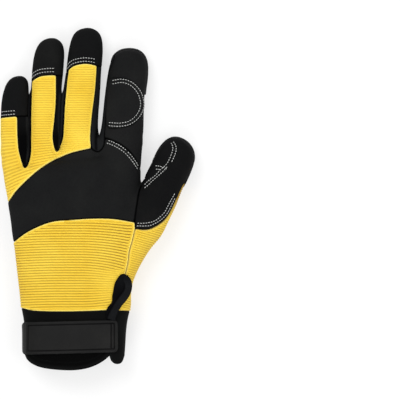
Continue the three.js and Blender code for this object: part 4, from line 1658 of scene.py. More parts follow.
FINISHES: dict[Slot, Finish] = {
    Slot.YELLOW_KNIT: Finish(
        "yellow_ribbed_knit", tone(251, 219, 80), tone(238, 197, 56), (0.75, 0.95), Pattern.LOOPS,
        9000.0, 0.05, rim=tone(252, 230, 122), rim_reach=1.1, shaded=tone(152, 106, 8), dust=0.02,
        specular=0.1, sheen=0.1),
    Slot.BLACK_LEATHER: Finish(
        "black_smooth_leather", tone(25, 26, 26), tone(20, 20, 21), (0.74, 0.86), Pattern.GRAIN, 900.0,
        0.04, rim=tone(7, 7, 8), rim_reach=1.2, shaded=tone(4, 4, 5), dust=0.015, specular=0.06),
    Slot.BLACK_KNIT: Finish(
        "black_side_knit", tone(38, 39, 40), tone(29, 30, 31), (0.85, 0.95), Pattern.LOOPS, 8000.0,
        0.06, rim=tone(16, 16, 17), rim_reach=0.5, shaded=tone(5, 5, 6), specular=0.03),
    Slot.GREY_PATCH: Finish(
        "grey_palm_patch", tone(58, 59, 59), tone(42, 43, 44), (0.6, 0.8), Pattern.GRAIN, 620.0,
        0.14, rim=tone(16, 16, 17), rim_reach=1.0, shaded=tone(18, 18, 19), dust=0.05, specular=0.2),
    Slot.GLOSSY_PATCH: Finish(
        "glossy_tip_patch", tone(78, 80, 82), tone(48, 50, 53), (0.28, 0.45), Pattern.GRAIN, 560.0,
        0.14, rim=tone(14, 14, 15), rim_reach=1.2, shaded=tone(9, 9, 11), dust=0.03, specular=0.28),
    Slot.CUFF_KNIT: Finish(
        "cuff_stretch_cloth", tone(17, 18, 18), tone(11, 11, 11), (0.75, 0.9), Pattern.LOOPS, 7000.0,
        0.05, rim=tone(22, 24, 24), rim_reach=0.7, shaded=tone(3, 3, 3), sheen=0.02, specular=0.03),
    Slot.SATIN_RUBBER: Finish(
        "satin_strap_rubber", tone(25, 25, 25), tone(21, 21, 21), (0.42, 0.52), Pattern.GRAIN, 1500.0,
        0.02, rim=tone(18, 19, 19), rim_reach=0.5, shaded=tone(4, 4, 5), dust=0.02, specular=0.09),
    Slot.LOOP_TAPE: Finish(
        "woven_loop_tape", tone(22, 24, 26), tone(12, 12, 14), (0.65, 0.85), Pattern.TWILL, 7000.0,
        0.08, rim=tone(3, 3, 5), rim_reach=1.1, shaded=tone(3, 3, 5), specular=0.08),
}
THREAD = Finish(
    "sewing_thread", tone(214, 215, 212), tone(168, 169, 167), (0.6, 0.8), Pattern.TWILL, 16000.0, 0.03,
    specular=0.2)


# The workshop that cuts and sews the pieces and puts them in place of the solids


@dataclass(frozen=True)
class SeamGauge:
    """Sizes of the double stitching."""

    pitch: float = 1.9
    dash: float = 1.42
    thread_radius: float = 0.29
    heading_reach: float = 0.3

    @staticmethod
    def rows(first: float = 1.4, spacing: float = 2.1) -> list[float]:
        """The distances of a pair of rows from the edge that they follow."""
        return [first, first + spacing]


@dataclass(frozen=True)
class RibGauge:
    """How a rib of knit is laid along its line, and how its ends thin out and sink."""

    rounds: int = 4
    step: float = 1.1
    end_reach: float = 1.2
    end_loss: float = 0.3
    end_sink: float = 0.22


@dataclass(frozen=True)
class Window:
    """The part of the plan where stitch rows are sewn; its left side may lean."""

    left: float = -FAR
    right: float = FAR
    low: float = -FAR
    high: float = FAR
    lean: float = 0.0

    def holds(self, points: np.ndarray) -> np.ndarray:
        """Whether each point lies in the window."""
        x, y, _ = points.T
        return (x > self.left + self.lean * y) & (x < self.right) & (y > self.low) & (y < self.high)


@dataclass(frozen=True)
class Rows:
    """Stitch rows along equal distances, within a window."""

    name: str
    levels: Sequence[float]
    window: Window = Window()

    def lines(self, top: Skin) -> list[Line]:
        """The rows on a surface that keeps the distance under this name."""
        found = [line for level in self.levels for line in trace(top, top.values[self.name], level)]
        return [line.clipped(self.window.holds(line.points)) for line in found]

    def nearness(self, skin: "Skin", width: float) -> np.ndarray:
        """How near each corner is to the rows, from 0 to 1."""
        away = np.min([np.abs(skin.values[self.name] - level) for level in self.levels], axis=0)
        return np.where(self.window.holds(skin.points), bell(away, width), 0.0)


@dataclass(frozen=True)
class Cut:
    """How a panel's sheet is finished; the fullness is how far it bulges beside the ring finger's sides."""

    slot: Slot
    roll: float = 0.8
    swell: float = 0.3
    crease_depth: float = 0.0
    # How dark the sheet is painted, as painted shade
    shade: float = 0.0
    fullness: float = 0.0
    rows: Rows | None = None


class Workshop:
    """Shared sheet, layout, finishes and repeaters, with which the pieces are made."""

    def __init__(self) -> None:
        """Builds the sheet and everything that the pieces share."""
        self.skin = HandForm().build()
        LOG.info("sheet: %d corners", len(self.skin.points))
        self.layout = Layout(self.skin)
        self.ground = Ground(self.skin)
        effects = SurfaceEffects()
        self.materials = {slot: finish.build(effects) for slot, finish in FINISHES.items()}
        self.thread = THREAD.build(effects)
        self.stitches = stitch_repeater()
        self.ribs = rib_repeater()
        self.gauge = SeamGauge()

    def piece(self, name: str, body: Body, slot: Slot | None, nodes: Sequence[str] = (),
              padded: bool = False) -> None:
        """Makes a finished object of a body.

        Args:
            name: the piece's name.
            body: its triangles.
            slot: the record's material slot, or None for stitching.
            nodes: the solids that it stands for.
            padded: not used.
        """
        mesh = bpy.data.meshes.new(name)
        mesh.from_pydata(to_frame(body.points).tolist(), [], body.faces.tolist())
        mesh.shade_smooth()
        for key, amounts in (("edge", body.edge), ("shade", body.shade)):
            layer = mesh.attributes.new(key, "FLOAT", "POINT")
            layer.data.foreach_set("value", amounts.astype(np.float32))
        mesh.materials.append(self.materials[slot] if slot else self.thread)
        made = show(name, mesh)
        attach(made, "root")
        if nodes:
            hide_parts(*nodes)
        LOG.info("%s: %d triangles", name, len(body.faces))

    def stitch(self, name: str, lines: Iterable[Line], lift: float = 0.0) -> None:
        """Sews dashes of thread along lines, as one piece.

        Args:
            name: the piece's name.
            lines: the lines on the surface.
            lift: how far above the line the thread lies.
        """
        gauge = self.gauge
        places, ups, alongs = [], [], []
        for line in lines:
            if len(line.points) < 3:
                continue
            even = line.eased()
            count = int(even.length / gauge.pitch)
            if count < 2:
                continue
            run = (even.length - (count - 1) * gauge.pitch) / 2 + np.arange(count) * gauge.pitch
            reach = gauge.heading_reach
            spots, ahead, behind = (even.at(run + shift) for shift in (0, reach, -reach))
            places.append(spots.points + spots.normals * lift)
            ups.append(spots.normals)
            alongs.append(unit(ahead.points - behind.points))
        if not places:
            return
        body = self.stitches.run(
            np.vstack(places), np.empty((0, 2), int), {"up": np.vstack(ups), "along": np.vstack(alongs)}, {
                "Stitch Length": gauge.dash * MM,
                "Thread Radius": gauge.thread_radius * MM,
                "Finish": self.thread,
            })
        self.piece(name, body, None)

    def rib_body(self, lines: Iterable[Line], half_width: float, half_height: float,
                 material: bpy.types.Material) -> Body:
        """Ribs of knit along lines, each thinning out at its ends.

        Args:
            lines: the lines on the surface.
            half_width: half a rib's width.
            half_height: half a rib's height.
            material: the ribs' finish.

        Returns:
            All the ribs in one body.
        """
        gauge = RibGauge()
        points, normals, widths, edges, total = [], [], [], [], 0
        for line in lines:
            even = line.eased(gauge.rounds).stepped(gauge.step)
            count = len(even.points)
            run = np.linspace(0, even.length, count)
            end = 1 - ease(0.0, gauge.end_reach, np.minimum(run, run[::-1]))
            widths.append(1 - gauge.end_loss * end)
            points.append(even.points - even.normals * (gauge.end_sink * end)[:, None])
            normals.append(even.normals)
            edges.append(np.column_stack([np.arange(count - 1), np.arange(1, count)]) + total)
            total += count
        return self.ribs.run(
            np.vstack(points), np.vstack(edges), {"up": np.vstack(normals), "width": np.concatenate(widths)},
            {"Half Width": half_width * MM, "Half Height": half_height * MM, "Finish": material})


# Panels


@dataclass
class KnitPanels:
    """The three yellow ribbed panels."""

    shop: Workshop
    roll: float = 0.85
    sheet_lift: float = 0.25
    sink: float = 0.5
    end_sink: float = 0.42
    least_rib: float = 4.0
    rib_share: float = 0.53
    back_pitch: float = 1.86
    finger_pitch: float = 1.68
    gusset_pitch: float = 1.66
    # Distances past the rolled edge: where the sheet sinks, the grooves get painted shade and the ribs rise
    sink_span: tuple[float, float] = (0.3, 1.6)
    groove_span: tuple[float, float] = (0.8, 2.4)
    end_span: tuple[float, float] = (0.2, 1.5)
    # The lower back's ribs: where they start to bend at the right and the left, over what distance
    sag_from: float = -12.0
    sag_reach: float = 24.0
    sag_most: float = 1.4
    lift_from: float = -25.0
    lift_reach: float = 30.0
    # The slants of the other ribs; those of the fingers' backs level out with height
    finger_slant: float = 0.42
    level_x: float = -30.0
    level_span: tuple[float, float] = (-5.0, 52.0)
    gusset_slant: float = 0.28
    # The gusset's painted shade on its back: at the thumb's root and along its edge
    root_shade: float = 0.8
    root_span: tuple[float, float] = (-16.0, 2.0)
    edge_shade: float = 0.55
    edge_span: tuple[float, float] = (0.3, 1.1)
    back_span: tuple[float, float] = (9.0, 12.0)

    def build(self) -> None:
        """Makes all three."""
        self._panel("back_lower_panel", self.back_pitch, self._lower_rise, height=0.66, depth=1.0)
        self._panel("back_upper_panel", self.finger_pitch, self._upper_rise, height=0.46, depth=0.3)
        self._panel("thumb_gusset", self.gusset_pitch, self._gusset_rise, height=0.6, depth=0.75)

    def _lower_rise(self, points: np.ndarray) -> np.ndarray:
        """How far up the ribs each point lies: they sag to the right high up, and rise low down.

        Args:
            points: places on the lower back.

        Returns:
            The height of each point.
        """
        x, y, _ = points.T
        right = np.maximum(0.0, (x - self.sag_from) / self.sag_reach)
        left = np.maximum(0.0, (self.lift_from - x) / self.lift_reach)
        return y - column_at(RIB_SAG, y) * np.minimum(right, self.sag_most) ** 2 + left**2

    def _upper_rise(self, points: np.ndarray) -> np.ndarray:
        """How far up the ribs each point lies: they slant upward low down on the left."""
        x, y, _ = points.T
        return y - self.finger_slant * (x - self.level_x) * (1 - ease(*self.level_span, y))

    def _gusset_rise(self, points: np.ndarray) -> np.ndarray:
        """How far up the ribs each point lies."""
        return points[:, 1] + self.gusset_slant * points[:, 0]

    def _past_roll(self, span: tuple[float, float], edge: np.ndarray) -> np.ndarray:
        """A smooth step over a span of distances past the rolled edge."""
        return ease(self.roll + span[0], self.roll + span[1], edge)

    def _panel(self, name: str, pitch: float, rise: Callable[[np.ndarray], np.ndarray], height: float,
               depth: float) -> None:
        """Makes one panel: a rolled sheet with a smooth rim, and ribs laid along equal heights.

        Args:
            name: the solid's name.
            pitch: distance between ribs.
            rise: gives each point's place across the ribs.
            height: half the height of a rib's oval.
            depth: how dark the grooves are painted, as painted shade, up to one.
        """
        shop = self.shop
        skin = shop.layout.cut(name, self.roll + SEAM_MARGIN)
        edge = skin.values["edge"]
        sheet = skin.lifted(self.sheet_lift - self.sink * self._past_roll(self.sink_span, edge))
        body = rolled_sheet(sheet, self.roll, WALL, edge)
        body.shade = np.maximum(body.shade, depth * self._past_roll(self.groove_span, body.edge))
        ribbed = sheet.keep(edge, self.roll + self.end_span[0])
        ribbed = ribbed.lifted(-self.end_sink * (1 - self._past_roll(self.end_span, ribbed.values["edge"])))
        heights = rise(ribbed.points)
        levels = np.arange(math.floor(heights.min() / pitch), math.ceil(heights.max() / pitch) + 1) * pitch
        lines = [line for level in levels for line in trace(ribbed, heights, level, self.least_rib)]
        ribs = shop.rib_body(lines, pitch * self.rib_share, height, shop.materials[Slot.YELLOW_KNIT])
        ribs.shade *= depth
        whole = body.joined(ribs)
        if name == "thumb_gusset":
            _, y, z = whole.points.T
            root = self.root_shade * ease(*self.root_span, y)
            rim = self.edge_shade * (1 - ease(*self.edge_span, whole.edge))
            whole.shade = np.maximum(whole.shade, np.maximum(root, rim) * ease(*self.back_span, z))
        shop.piece(name + "_knit", whole, Slot.YELLOW_KNIT, [name])


@dataclass
class LeatherPanels:
    """The black panels of the back and the palm, and the stitches on them."""

    shop: Workshop
    channel_depth: float = 0.28
    channel_width: float = 0.6
    lift: float = 0.2
    swell_reach: float = 5.0
    # Where the fullness lies: from the edge, beside the parting lines, and up to a height
    full_rim: tuple[float, float] = (0.0, 0.8)
    full_side: tuple[float, float] = (2.0, 4.5)
    full_end: tuple[float, float] = (72.0, 79.0)
    # The painted shade of the strips between fingers, away from the parting lines, over more room high up
    gap_rise: tuple[float, float] = (42.0, 54.0)
    gap_low: tuple[float, float] = (0.5, 1.4)
    gap_more: tuple[float, float] = (0.5, 1.0)
    gap_fade: float = 0.2
    fold_shade: float = 0.95
    fold_width: float = 1.5
    # A cut's shade is painted shade: all over on the thumb's back and fingertip ends, by _gap_shade on the
    # knit strips
    cuts: dict[str, Cut] = field(default_factory=lambda: {
        "palm_panel": Cut(Slot.BLACK_LEATHER, roll=0.7, swell=0.1, crease_depth=0.35),
        "knuckle_band": Cut(
            Slot.BLACK_LEATHER, roll=0.9, swell=0.4, crease_depth=0.15,
            rows=Rows("index", [-level for level in SeamGauge.rows(1.1)], Window(low=INDEX_BASE_ROWS_LOW))),
        "index_back": Cut(Slot.BLACK_LEATHER, swell=0.3, crease_depth=0.25),
        "thumb_back": Cut(Slot.BLACK_LEATHER, roll=0.9, swell=0.3, crease_depth=0.2, shade=0.5),
        **{name: Cut(Slot.BLACK_LEATHER, shade=0.45, fullness=0.5 if name == "pinky_cap" else 0.0,
                     rows=Rows("seam", SeamGauge.rows(first, CAP_ROW_SPACING), Window(right=right)))
           for name, (right, first) in CAP_ROWS.items()},
        "pinky_ring_fourchette": Cut(Slot.BLACK_KNIT, roll=0.7, swell=0.1, shade=1.0, fullness=1.4),
        "ring_middle_fourchette": Cut(Slot.BLACK_KNIT, roll=0.7, swell=0.1, shade=1.0, fullness=1.0),
        "middle_index_fourchette": Cut(Slot.BLACK_KNIT, roll=0.7, swell=0.1, shade=0.25),
    })

    def build(self) -> None:
        """Makes every panel and sews the rows that lie on them."""
        shop = self.shop
        for name, cut in self.cuts.items():
            top = self._panel(name, cut)
            if cut.rows:
                shop.stitch(name + "_stitches", cut.rows.lines(top))
            elif name == "thumb_back":
                ground = Ground(top)
                shop.stitch(name + "_stitches", [ground.line(rows) for rows in THUMB_ROWS])

    def _panel(self, name: str, cut: Cut) -> Skin:
        """Makes one panel and returns its outer surface, for sewing on.

        Args:
            name: the solid's name.
            cut: how its sheet is finished.

        Returns:
            The outer surface.
        """
        layout = self.shop.layout
        seam = layout.seams.get(name, layout.fields[name])
        skin = layout.cut_field(layout.fields[name], cut.roll + SEAM_MARGIN, seam=seam,
                                index=layout.seams["index_back"])
        edge = skin.values["edge"]
        rise = self.lift + cut.swell * (1 - np.exp(-edge / self.swell_reach))
        rise += LEATHER_WAVES.over(skin.points, edge)
        rise += cut.crease_depth * LEATHER_CREASES.over(skin.points, edge)
        side = 1 - ease(*self.full_side, off_partings(skin.points))
        below = 1 - ease(*self.full_end, skin.points[:, 1])
        rise += cut.fullness * ease(*self.full_rim, edge) * side * below
        if cut.rows:
            rise -= self.channel_depth * cut.rows.nearness(skin, self.channel_width)
        elif name == "thumb_back":
            near = np.min([path_distance(skin.points, flow(rows)) for rows in THUMB_ROWS], axis=0)
            rise -= self.channel_depth * bell(near, self.channel_width)
        top = skin.lifted(rise)
        body = rolled_sheet(top, cut.roll, WALL, edge)
        knit = cut.slot is Slot.BLACK_KNIT
        body.shade = np.maximum(body.shade, self._gap_shade(body.points, cut.shade) if knit else cut.shade)
        self.shop.piece(name + ("_knit" if knit else "_leather"), body, cut.slot, [name])
        return top

    def _gap_shade(self, points: np.ndarray, shade: float) -> np.ndarray:
        """The painted shade of a strip between fingers: dark off the parting lines, and in the fold at its
        root.

        Args:
            points: places on the strip.
            shade: the strip's own shade.

        Returns:
            The shade at each place.
        """
        high_up = ease(*self.gap_rise, points[:, 1])
        low, high = (start + more * high_up for start, more in zip(self.gap_low, self.gap_more))
        side = shade * (1 - self.gap_fade * high_up) * ease(low, high, off_partings(points))
        fold = bell(path_distance(points, flow(ROOT_FOLD)), self.fold_width)
        return np.maximum(side, self.fold_shade * fold)


# Patches


@dataclass(frozen=True)
class PatchPlan:
    """Where a patch lies, how thick it is and how it is sewn.

    The bound is the distance to the edges where the patch thins out. The guides are the distances that its
    stitch rows follow. The shade is painted shade that darkens it, wholly from the height dark_above on.
    """

    name: str
    inside: np.ndarray
    bound: np.ndarray
    guides: dict[str, np.ndarray]
    rows: Sequence[Rows]
    thickness: float = TIP_THICKNESS
    slot: Slot = Slot.GREY_PATCH
    roll: float = 0.75
    padded: bool = False
    shade: float = 0.0
    dark_above: float = 9.0


@dataclass
class Patches:
    """The padded palm patches, the fingertip patches and the knuckle patch."""

    shop: Workshop
    channel_depth: float = 0.42
    channel_width: float = 0.6
    thin_share: float = 0.3
    thin_reach: float = 4.5
    # How much darker the crotch patch and the forefinger's tip patch are painted all over
    crotch_shade: float = 0.5
    index_shade: float = 0.5
    side_round: float = 4.0
    start_round: float = 1.5
    rows_overlap: float = 0.3
    coarse_cut: float = 0.3
    puff: float = 0.35
    puff_span: tuple[float, float] = (4.2, 9.0)
    unpadded_puff: float = 0.4
    least_z: float = 0.02
    seat: float = 0.1
    dark_reach: float = 4.0
    thread_lift: float = 0.05

    def build(self) -> None:
        """Makes every patch with its double stitching."""
        for plan in (*self._palm(), *self._fingertips(), self._thumb_tip(), self._knuckle()):
            self._patch(plan)

    def _palm(self) -> list[PatchPlan]:
        """The three padded patches of the palm."""
        layout = self.shop.layout
        low = layout.skin.on_surface(PALM_PATCH_HIGH - layout.skin.points[:, 2])
        outlines = {
            "upper_palm_patch": flow(UPPER_PALM_PATCH, closed=True),
            "hook_palm_patch": stroke_outline(HOOK_PATCH),
            "crotch_palm_patch": flow(CROTCH_PATCH, closed=True),
        }
        plans = []
        for name, outline in outlines.items():
            inside = np.minimum(layout.plan(outline), low)
            shade = self.crotch_shade if name == "crotch_palm_patch" else 0.0
            plans.append(PatchPlan(name, inside, low, {"own": inside}, [Rows("own", SeamGauge.rows())],
                                   thickness=PATCH_THICKNESS, padded=True, shade=shade))
        return plans

    def _fingertips(self) -> list[PatchPlan]:
        """The patches under the ends of the four fingers."""
        layout = self.shop.layout
        skin = layout.skin
        x, y, z = skin.points.T
        plans = []
        for digit, (left, right, start, high) in FINGERTIP_PATCHES.items():
            own = layout.belongs([Digit[digit.upper()]])
            along = skin.on_surface(y - start)
            sides = np.minimum(skin.on_surface(x - left), skin.on_surface(right - x))
            bound = rounded_least(sides, skin.on_surface(high - z), self.side_round)
            inside = np.where(own, rounded_least(bound, along, self.start_round), NOWHERE)
            guides = {"along": along, "across": skin.on_surface(x - INDEX_SIDE_ROWS_X)}
            if digit != "index":
                rows = [Rows("along", SeamGauge.rows(first)) for first in TIP_ROWS[digit]]
                plans.append(PatchPlan(f"{digit}_tip_patch", inside, bound, guides, rows))
                continue
            within = Window(right=INDEX_SIDE_ROWS_X + self.rows_overlap)
            rows = [Rows("along", SeamGauge.rows(first), within) for first in TIP_ROWS[digit]]
            beside = Window(low=start + TIP_ROWS[digit][0], high=INDEX_SIDE_ROWS_TOP)
            rows.append(Rows("across", SeamGauge.rows(0.0), beside))
            plans.append(PatchPlan("index_tip_patch", inside, bound, guides, rows, slot=Slot.GLOSSY_PATCH,
                                   shade=self.index_shade, dark_above=7.0))
        return plans

    def _thumb_tip(self) -> PatchPlan:
        """The cap under the end of the thumb."""
        layout = self.shop.layout
        cap = layout.plan(region_to(THUMB_CAP_TOP, THUMB_CAP_EDGE))
        bound = layout.skin.on_surface(THUMB_CAP_HIGH - layout.skin.points[:, 2])
        own = layout.belongs([Digit.THUMB])
        inside = np.where(own, np.minimum(cap, bound), NOWHERE)
        return PatchPlan("thumb_tip_patch", inside, bound, {"cap": cap}, [Rows("cap", SeamGauge.rows())],
                         slot=Slot.GLOSSY_PATCH)

    def _knuckle(self) -> PatchPlan:
        """The patch on the back of the forefinger, whose rows run on under the finger's side seam."""
        layout = self.shop.layout
        plan, bow = (layout.plan(flow(rows, closed=True)) for rows in (KNUCKLE_PATCH, KNUCKLE_BOW))
        high = layout.skin.on_surface(layout.skin.points[:, 2] - SIDE_SEAM_Z)
        own = layout.belongs([Digit.INDEX])
        inside = np.where(own, np.minimum(plan, high), NOWHERE)
        rows = Rows("bow", SeamGauge.rows(first=1.15, spacing=2.3), Window(left=3.2, lean=0.085))
        return PatchPlan("index_knuckle_patch", inside, inside + FAR, {"bow": bow}, [rows],
                         slot=Slot.BLACK_LEATHER, roll=0.6, dark_above=FAR)

    def _patch(self, plan: PatchPlan) -> None:
        """Makes one patch: a thick sheet with rolled edges, sunk stitch channels and a soft middle.

        Args:
            plan: where it lies and how it is sewn.
        """
        shop = self.shop
        first_cut = plan.roll * self.coarse_cut
        skin = shop.layout.cut_field(plan.inside, first_cut, bound=plan.bound, **plan.guides).refined()
        skin = skin.keep(skin.values["edge"], plan.roll)
        edge = skin.values["edge"]
        dip = np.max([rows.nearness(skin, self.channel_width) for rows in plan.rows], axis=0)
        inward = ease(plan.roll, self.thin_reach, skin.values["bound"])
        full = self.thin_share + (1 - self.thin_share) * inward
        puff = self.puff * ease(*self.puff_span, edge) + PATCH_WAVES.over(skin.points, edge)
        puff *= 1.0 if plan.padded else self.unpadded_puff
        thick = plan.thickness * full
        top = skin.lifted(GAP + thick - self.channel_depth * dip * full + puff)
        top.points[:, 2] = np.maximum(top.points[:, 2], self.least_z)
        body = rolled_sheet(top, plan.roll, thick - self.seat, edge)
        # Painted shade rising up the patch's sides, wholly dark from dark_above on, over its painted
        # darkening all over
        high = ease(plan.dark_above - self.dark_reach, plan.dark_above, body.points[:, 2])
        body.shade = np.maximum(np.maximum(body.shade, plan.shade), high)
        suffix = "_pad" if plan.padded else "_cover"
        shop.piece(plan.name + suffix, body, plan.slot, [plan.name], plan.padded)
        lines = [line for rows in plan.rows for line in rows.lines(top)]
        shop.stitch(plan.name + "_stitches", lines, self.thread_lift)


# Wrist


@dataclass(frozen=True)
class CuffPart:
    """One cloth piece of the cuff: its rolled edge, how far it is cut back, how high it lies, its shade."""

    name: str
    roll: float
    margin: float
    lift: float
    # How dark the cloth is painted, as painted shade
    shade: float


@dataclass
class Wrist:
    """The cuff with its hem and flap, the strap and the pull loop."""

    shop: Workshop
    parts: tuple[CuffPart, ...] = (
        CuffPart("cuff", roll=0.6, margin=0.7, lift=0.0, shade=0.15),
        CuffPart("cuff_hem", roll=1.1, margin=0.95, lift=0.3, shade=0.8),
        CuffPart("cuff_flap", roll=0.9, margin=1.0, lift=0.0, shade=0.0),
    )
    # The cuff's painted shade below the strap, and where the hem's painted shade starts from its end
    end_shade: float = 0.8
    end_span: tuple[float, float] = (-112.0, -106.0)
    hem_span: tuple[float, float] = (1.2, 3.6)
    # The strap's outline; it narrows down the glove's left side
    strap_right: float = 14.2
    strap_low: float = -110.5
    strap_high: float = -87.3
    strap_tilt: float = 0.027
    tilt_centre: float = -20.0
    strap_floor: float = 14.0
    strap_left_corner: float = 5.0
    strap_right_corner: float = 3.2
    strap_taper: float = 2.2
    taper_span: tuple[float, float] = (17.0, 27.0)
    # The strap's thickness, its first coarse cuts and its rounded edge
    strap_roll: float = 0.7
    strap_lift: float = 1.7
    strap_seat: float = 0.2
    first_cut: float = -0.6
    second_cut: float = 0.4
    # The strap's raised rim, its grooves and its upright bar
    rim_width: float = 2.2
    rim_left: float = -50.2
    rim_corner: float = 2.2
    crown: float = 0.22
    crown_span: tuple[float, float] = (0.2, 0.9)
    crown_end: float = 0.7
    groove_offset: float = 0.35
    groove_width: float = 0.38
    groove_depth: float = 0.45
    bar_left: float = 9.7
    bar_lift: float = 0.15
    bar_span: tuple[float, float] = (0.3, 0.9)
    tape_half_thickness: float = 0.6
    tape_sides: int = 20
    tape_bend: float = 0.5

    def build(self) -> None:
        """Makes all the wrist's pieces."""
        for part in self.parts:
            self._cloth(part)
        self._strap()
        self._loop()

    def _cloth(self, part: CuffPart) -> None:
        """Makes one cloth piece of the cuff.

        Args:
            part: its sizes.
        """
        layout = self.shop.layout
        skin = layout.cut_field(layout.fields[part.name], part.margin, end=layout.seams["cuff_hem"])
        edge, end = skin.values["edge"], skin.values["end"]
        sheet = skin.lifted(part.lift + CUFF_WAVES.over(skin.points, edge))
        body = rolled_sheet(sheet, part.roll, CUFF_WALL, edge)
        body.shade = np.maximum(body.shade, part.shade)
        if part.name == "cuff":
            dark = self.end_shade * (1 - ease(*self.end_span, body.points[:, 1]))
            body.shade = np.maximum(body.shade, dark)
        if part.name == "cuff_hem":
            body.shade[:len(end)] = part.shade * ease(*self.hem_span, end)
        self.shop.piece(part.name + "_cloth", body, Slot.CUFF_KNIT, [part.name])

    def _strap(self) -> None:
        """The strap: a moulded plate with a raised rim, a flat field and an upright bar between grooves."""
        layout = self.shop.layout
        skin = layout.skin
        x, y, z = skin.points.T
        aslant = y - self.strap_tilt * (x - self.tilt_centre)
        tall = np.minimum(skin.on_surface(aslant - self.strap_low), skin.on_surface(self.strap_high - aslant))
        tall = tall - self.strap_taper * (1 - ease(*self.taper_span, z)) ** 2
        right = skin.on_surface(self.strap_right - x)
        ends = np.minimum(right, skin.on_surface(z - self.strap_floor))
        corner = np.where(x < 0, self.strap_left_corner, self.strap_right_corner)
        depth = rounded_least(tall, np.minimum(right, skin.on_surface(x - self.rim_left)), self.rim_corner)
        plate = layout.cut_field(rounded_least(tall, ends, corner), self.first_cut, depth=depth).refined()
        plate = plate.keep(plate.values["edge"], self.strap_roll * self.second_cut).refined()
        plate = plate.keep(plate.values["edge"], self.strap_roll)
        depth, bar = plate.values["depth"], plate.points[:, 0] - self.bar_left
        ring = bell(depth - self.rim_width - self.groove_offset, self.groove_width)
        upright = np.where(depth > self.rim_width, bell(bar, self.groove_width), 0.0)
        groove = np.maximum(ring, upright)
        inner = 1 - ease(self.rim_width - self.crown_end, self.rim_width, depth)
        crown = self.crown * ease(*self.crown_span, depth) * inner
        raised = np.where(bar > 0, self.bar_lift, 0.0) * ease(*self.bar_span, np.abs(bar))
        top = plate.lifted(self.strap_lift + crown + raised - self.groove_depth * groove)
        body = rolled_sheet(top, self.strap_roll, self.strap_lift - self.strap_seat, plate.values["edge"])
        # The grooves are painted darker, as painted shade in them
        body.shade[:len(groove)] = groove
        self.shop.piece("cuff_strap_rubber", body, Slot.SATIN_RUBBER, ["cuff_strap"])

    def _loop(self) -> None:
        """The pull loop: a flat tape laid on the glove in a slim teardrop, one leg over the other."""
        rows = flow(LOOP_PATH)
        line = self.shop.ground.raised(rows[:, :2], rows[:, 2])
        along = unit(np.gradient(line.points, axis=0))
        up = unit(line.normals - along * (line.normals * along).sum(axis=1)[:, None])
        side = np.cross(along, up)
        wide, high = oval(np.linspace(0, 2 * math.pi, self.tape_sides + 1)[:-1], self.tape_bend)
        spread = rows[:, 3][:, None, None] * wide[None, :, None]
        lift = up[:, None] * (high * self.tape_half_thickness)[None, :, None]
        rings = line.points[:, None] + side[:, None] * spread + lift
        points = np.vstack([rings.reshape(-1, 3), line.points[[0, -1]]])
        # Painted shade from the path's last column, dark on the leg beneath
        shade = np.concatenate([np.repeat(rows[:, 4], self.tape_sides), rows[[0, -1], 4]])
        # Distance to the tape's sides, where the finish paints shade
        rim = (rows[:, 3][:, None] * (1 - np.abs(wide))).reshape(-1)
        faces = tube_faces(len(rows), self.tape_sides)
        body = Body(points, faces, np.concatenate([rim, [INNER, INNER]]), shade)
        self.shop.piece("pull_loop_tape", body, Slot.LOOP_TAPE, ["pull_loop"])


# The studio


@dataclass(frozen=True)
class Lamp:
    """A large soft light that points at the glove; its place and size are in metres."""

    name: str
    place: tuple[float, float, float]
    power: float
    size: float = 1.2


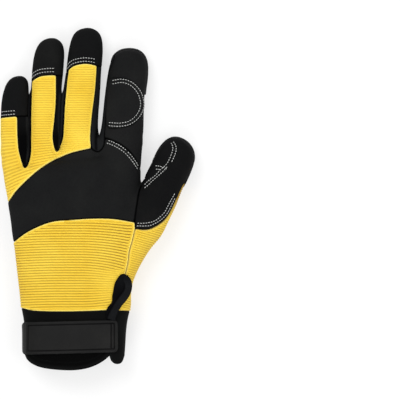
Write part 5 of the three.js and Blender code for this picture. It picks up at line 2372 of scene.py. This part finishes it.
@dataclass(frozen=True)
class Studio:
    """Pale floor, soft lights and a camera straight above, as in the photograph."""

    view_centre: tuple[float, float] = (72.35, -1.78)
    view_width: float = 285.7
    height: float = 3.0
    outline_height: float = 15.0
    view_end: float = 50.0
    floor_size: float = 8.0
    floor_grey: float = 0.38
    floor_roughness: float = 0.9
    floor_glow: float = 0.61
    sky: float = 0.58
    lamps: tuple[Lamp, ...] = (
        Lamp("key", (-0.7, 1.0, 2.0), 23.0),
        Lamp("side", (1.2, -0.2, 1.9), 10.0),
        Lamp("front", (-0.3, -1.3, 1.8), 10.0),
    )

    def build(self) -> None:
        """Sets up the floor, the lights and the camera."""
        self._floor()
        self._lights()
        data = bpy.data.cameras.new("camera")
        data.lens = data.sensor_width * (self.height - self.outline_height * MM) / (self.view_width * MM)
        data.clip_end = self.view_end
        camera = show("camera", data)
        camera.location = (self.view_centre[0] * MM, self.view_centre[1] * MM, self.height)
        bpy.context.scene.camera = camera

    def _floor(self) -> None:
        """A pale floor that the glove rests on, faintly lit from within as a light table is."""
        half = self.floor_size / 2
        mesh = bpy.data.meshes.new("floor")
        corners = [(-half, -half, 0), (half, -half, 0), (half, half, 0), (-half, half, 0)]
        mesh.from_pydata(corners, [], [(0, 1, 2, 3)])
        material = bpy.data.materials.new("pale_floor")
        material.use_nodes = True
        inputs = material.node_tree.nodes["Principled BSDF"].inputs
        inputs["Base Color"].default_value = (self.floor_grey, self.floor_grey, self.floor_grey, 1)
        inputs["Emission Color"].default_value = (1, 1, 1, 1)
        inputs["Emission Strength"].default_value = self.floor_glow
        inputs["Roughness"].default_value = self.floor_roughness
        inputs["Specular IOR Level"].default_value = 0.0
        mesh.materials.append(material)
        floor = show("floor", mesh)

    def _lights(self) -> None:
        """Large soft lights around the glove and a weak sky."""
        scene = bpy.context.scene
        scene.view_settings.view_transform = "Standard"
        world = bpy.data.worlds.new("studio")
        world.use_nodes = True
        sky = world.node_tree.nodes["Background"].inputs
        sky[0].default_value = (1, 1, 1, 1)
        sky[1].default_value = self.sky
        scene.world = world
        for lamp in self.lamps:
            data = bpy.data.lights.new(lamp.name, "AREA")
            data.size = lamp.size
            data.energy = lamp.power
            light = show(lamp.name, data)
            light.location = lamp.place
            light.rotation_mode = "QUATERNION"
            light.rotation_quaternion = (-Vector(lamp.place)).to_track_quat("-Z", "Y")


def main() -> None:
    """Builds the glove on its frame and the studio around it."""
    logging.basicConfig(level=logging.INFO, format="%(message)s")
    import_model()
    Studio().build()
    shop = Workshop()
    KnitPanels(shop).build()
    LeatherPanels(shop).build()
    Patches(shop).build()
    Wrist(shop).build()


if __name__ == "__main__":
    main()
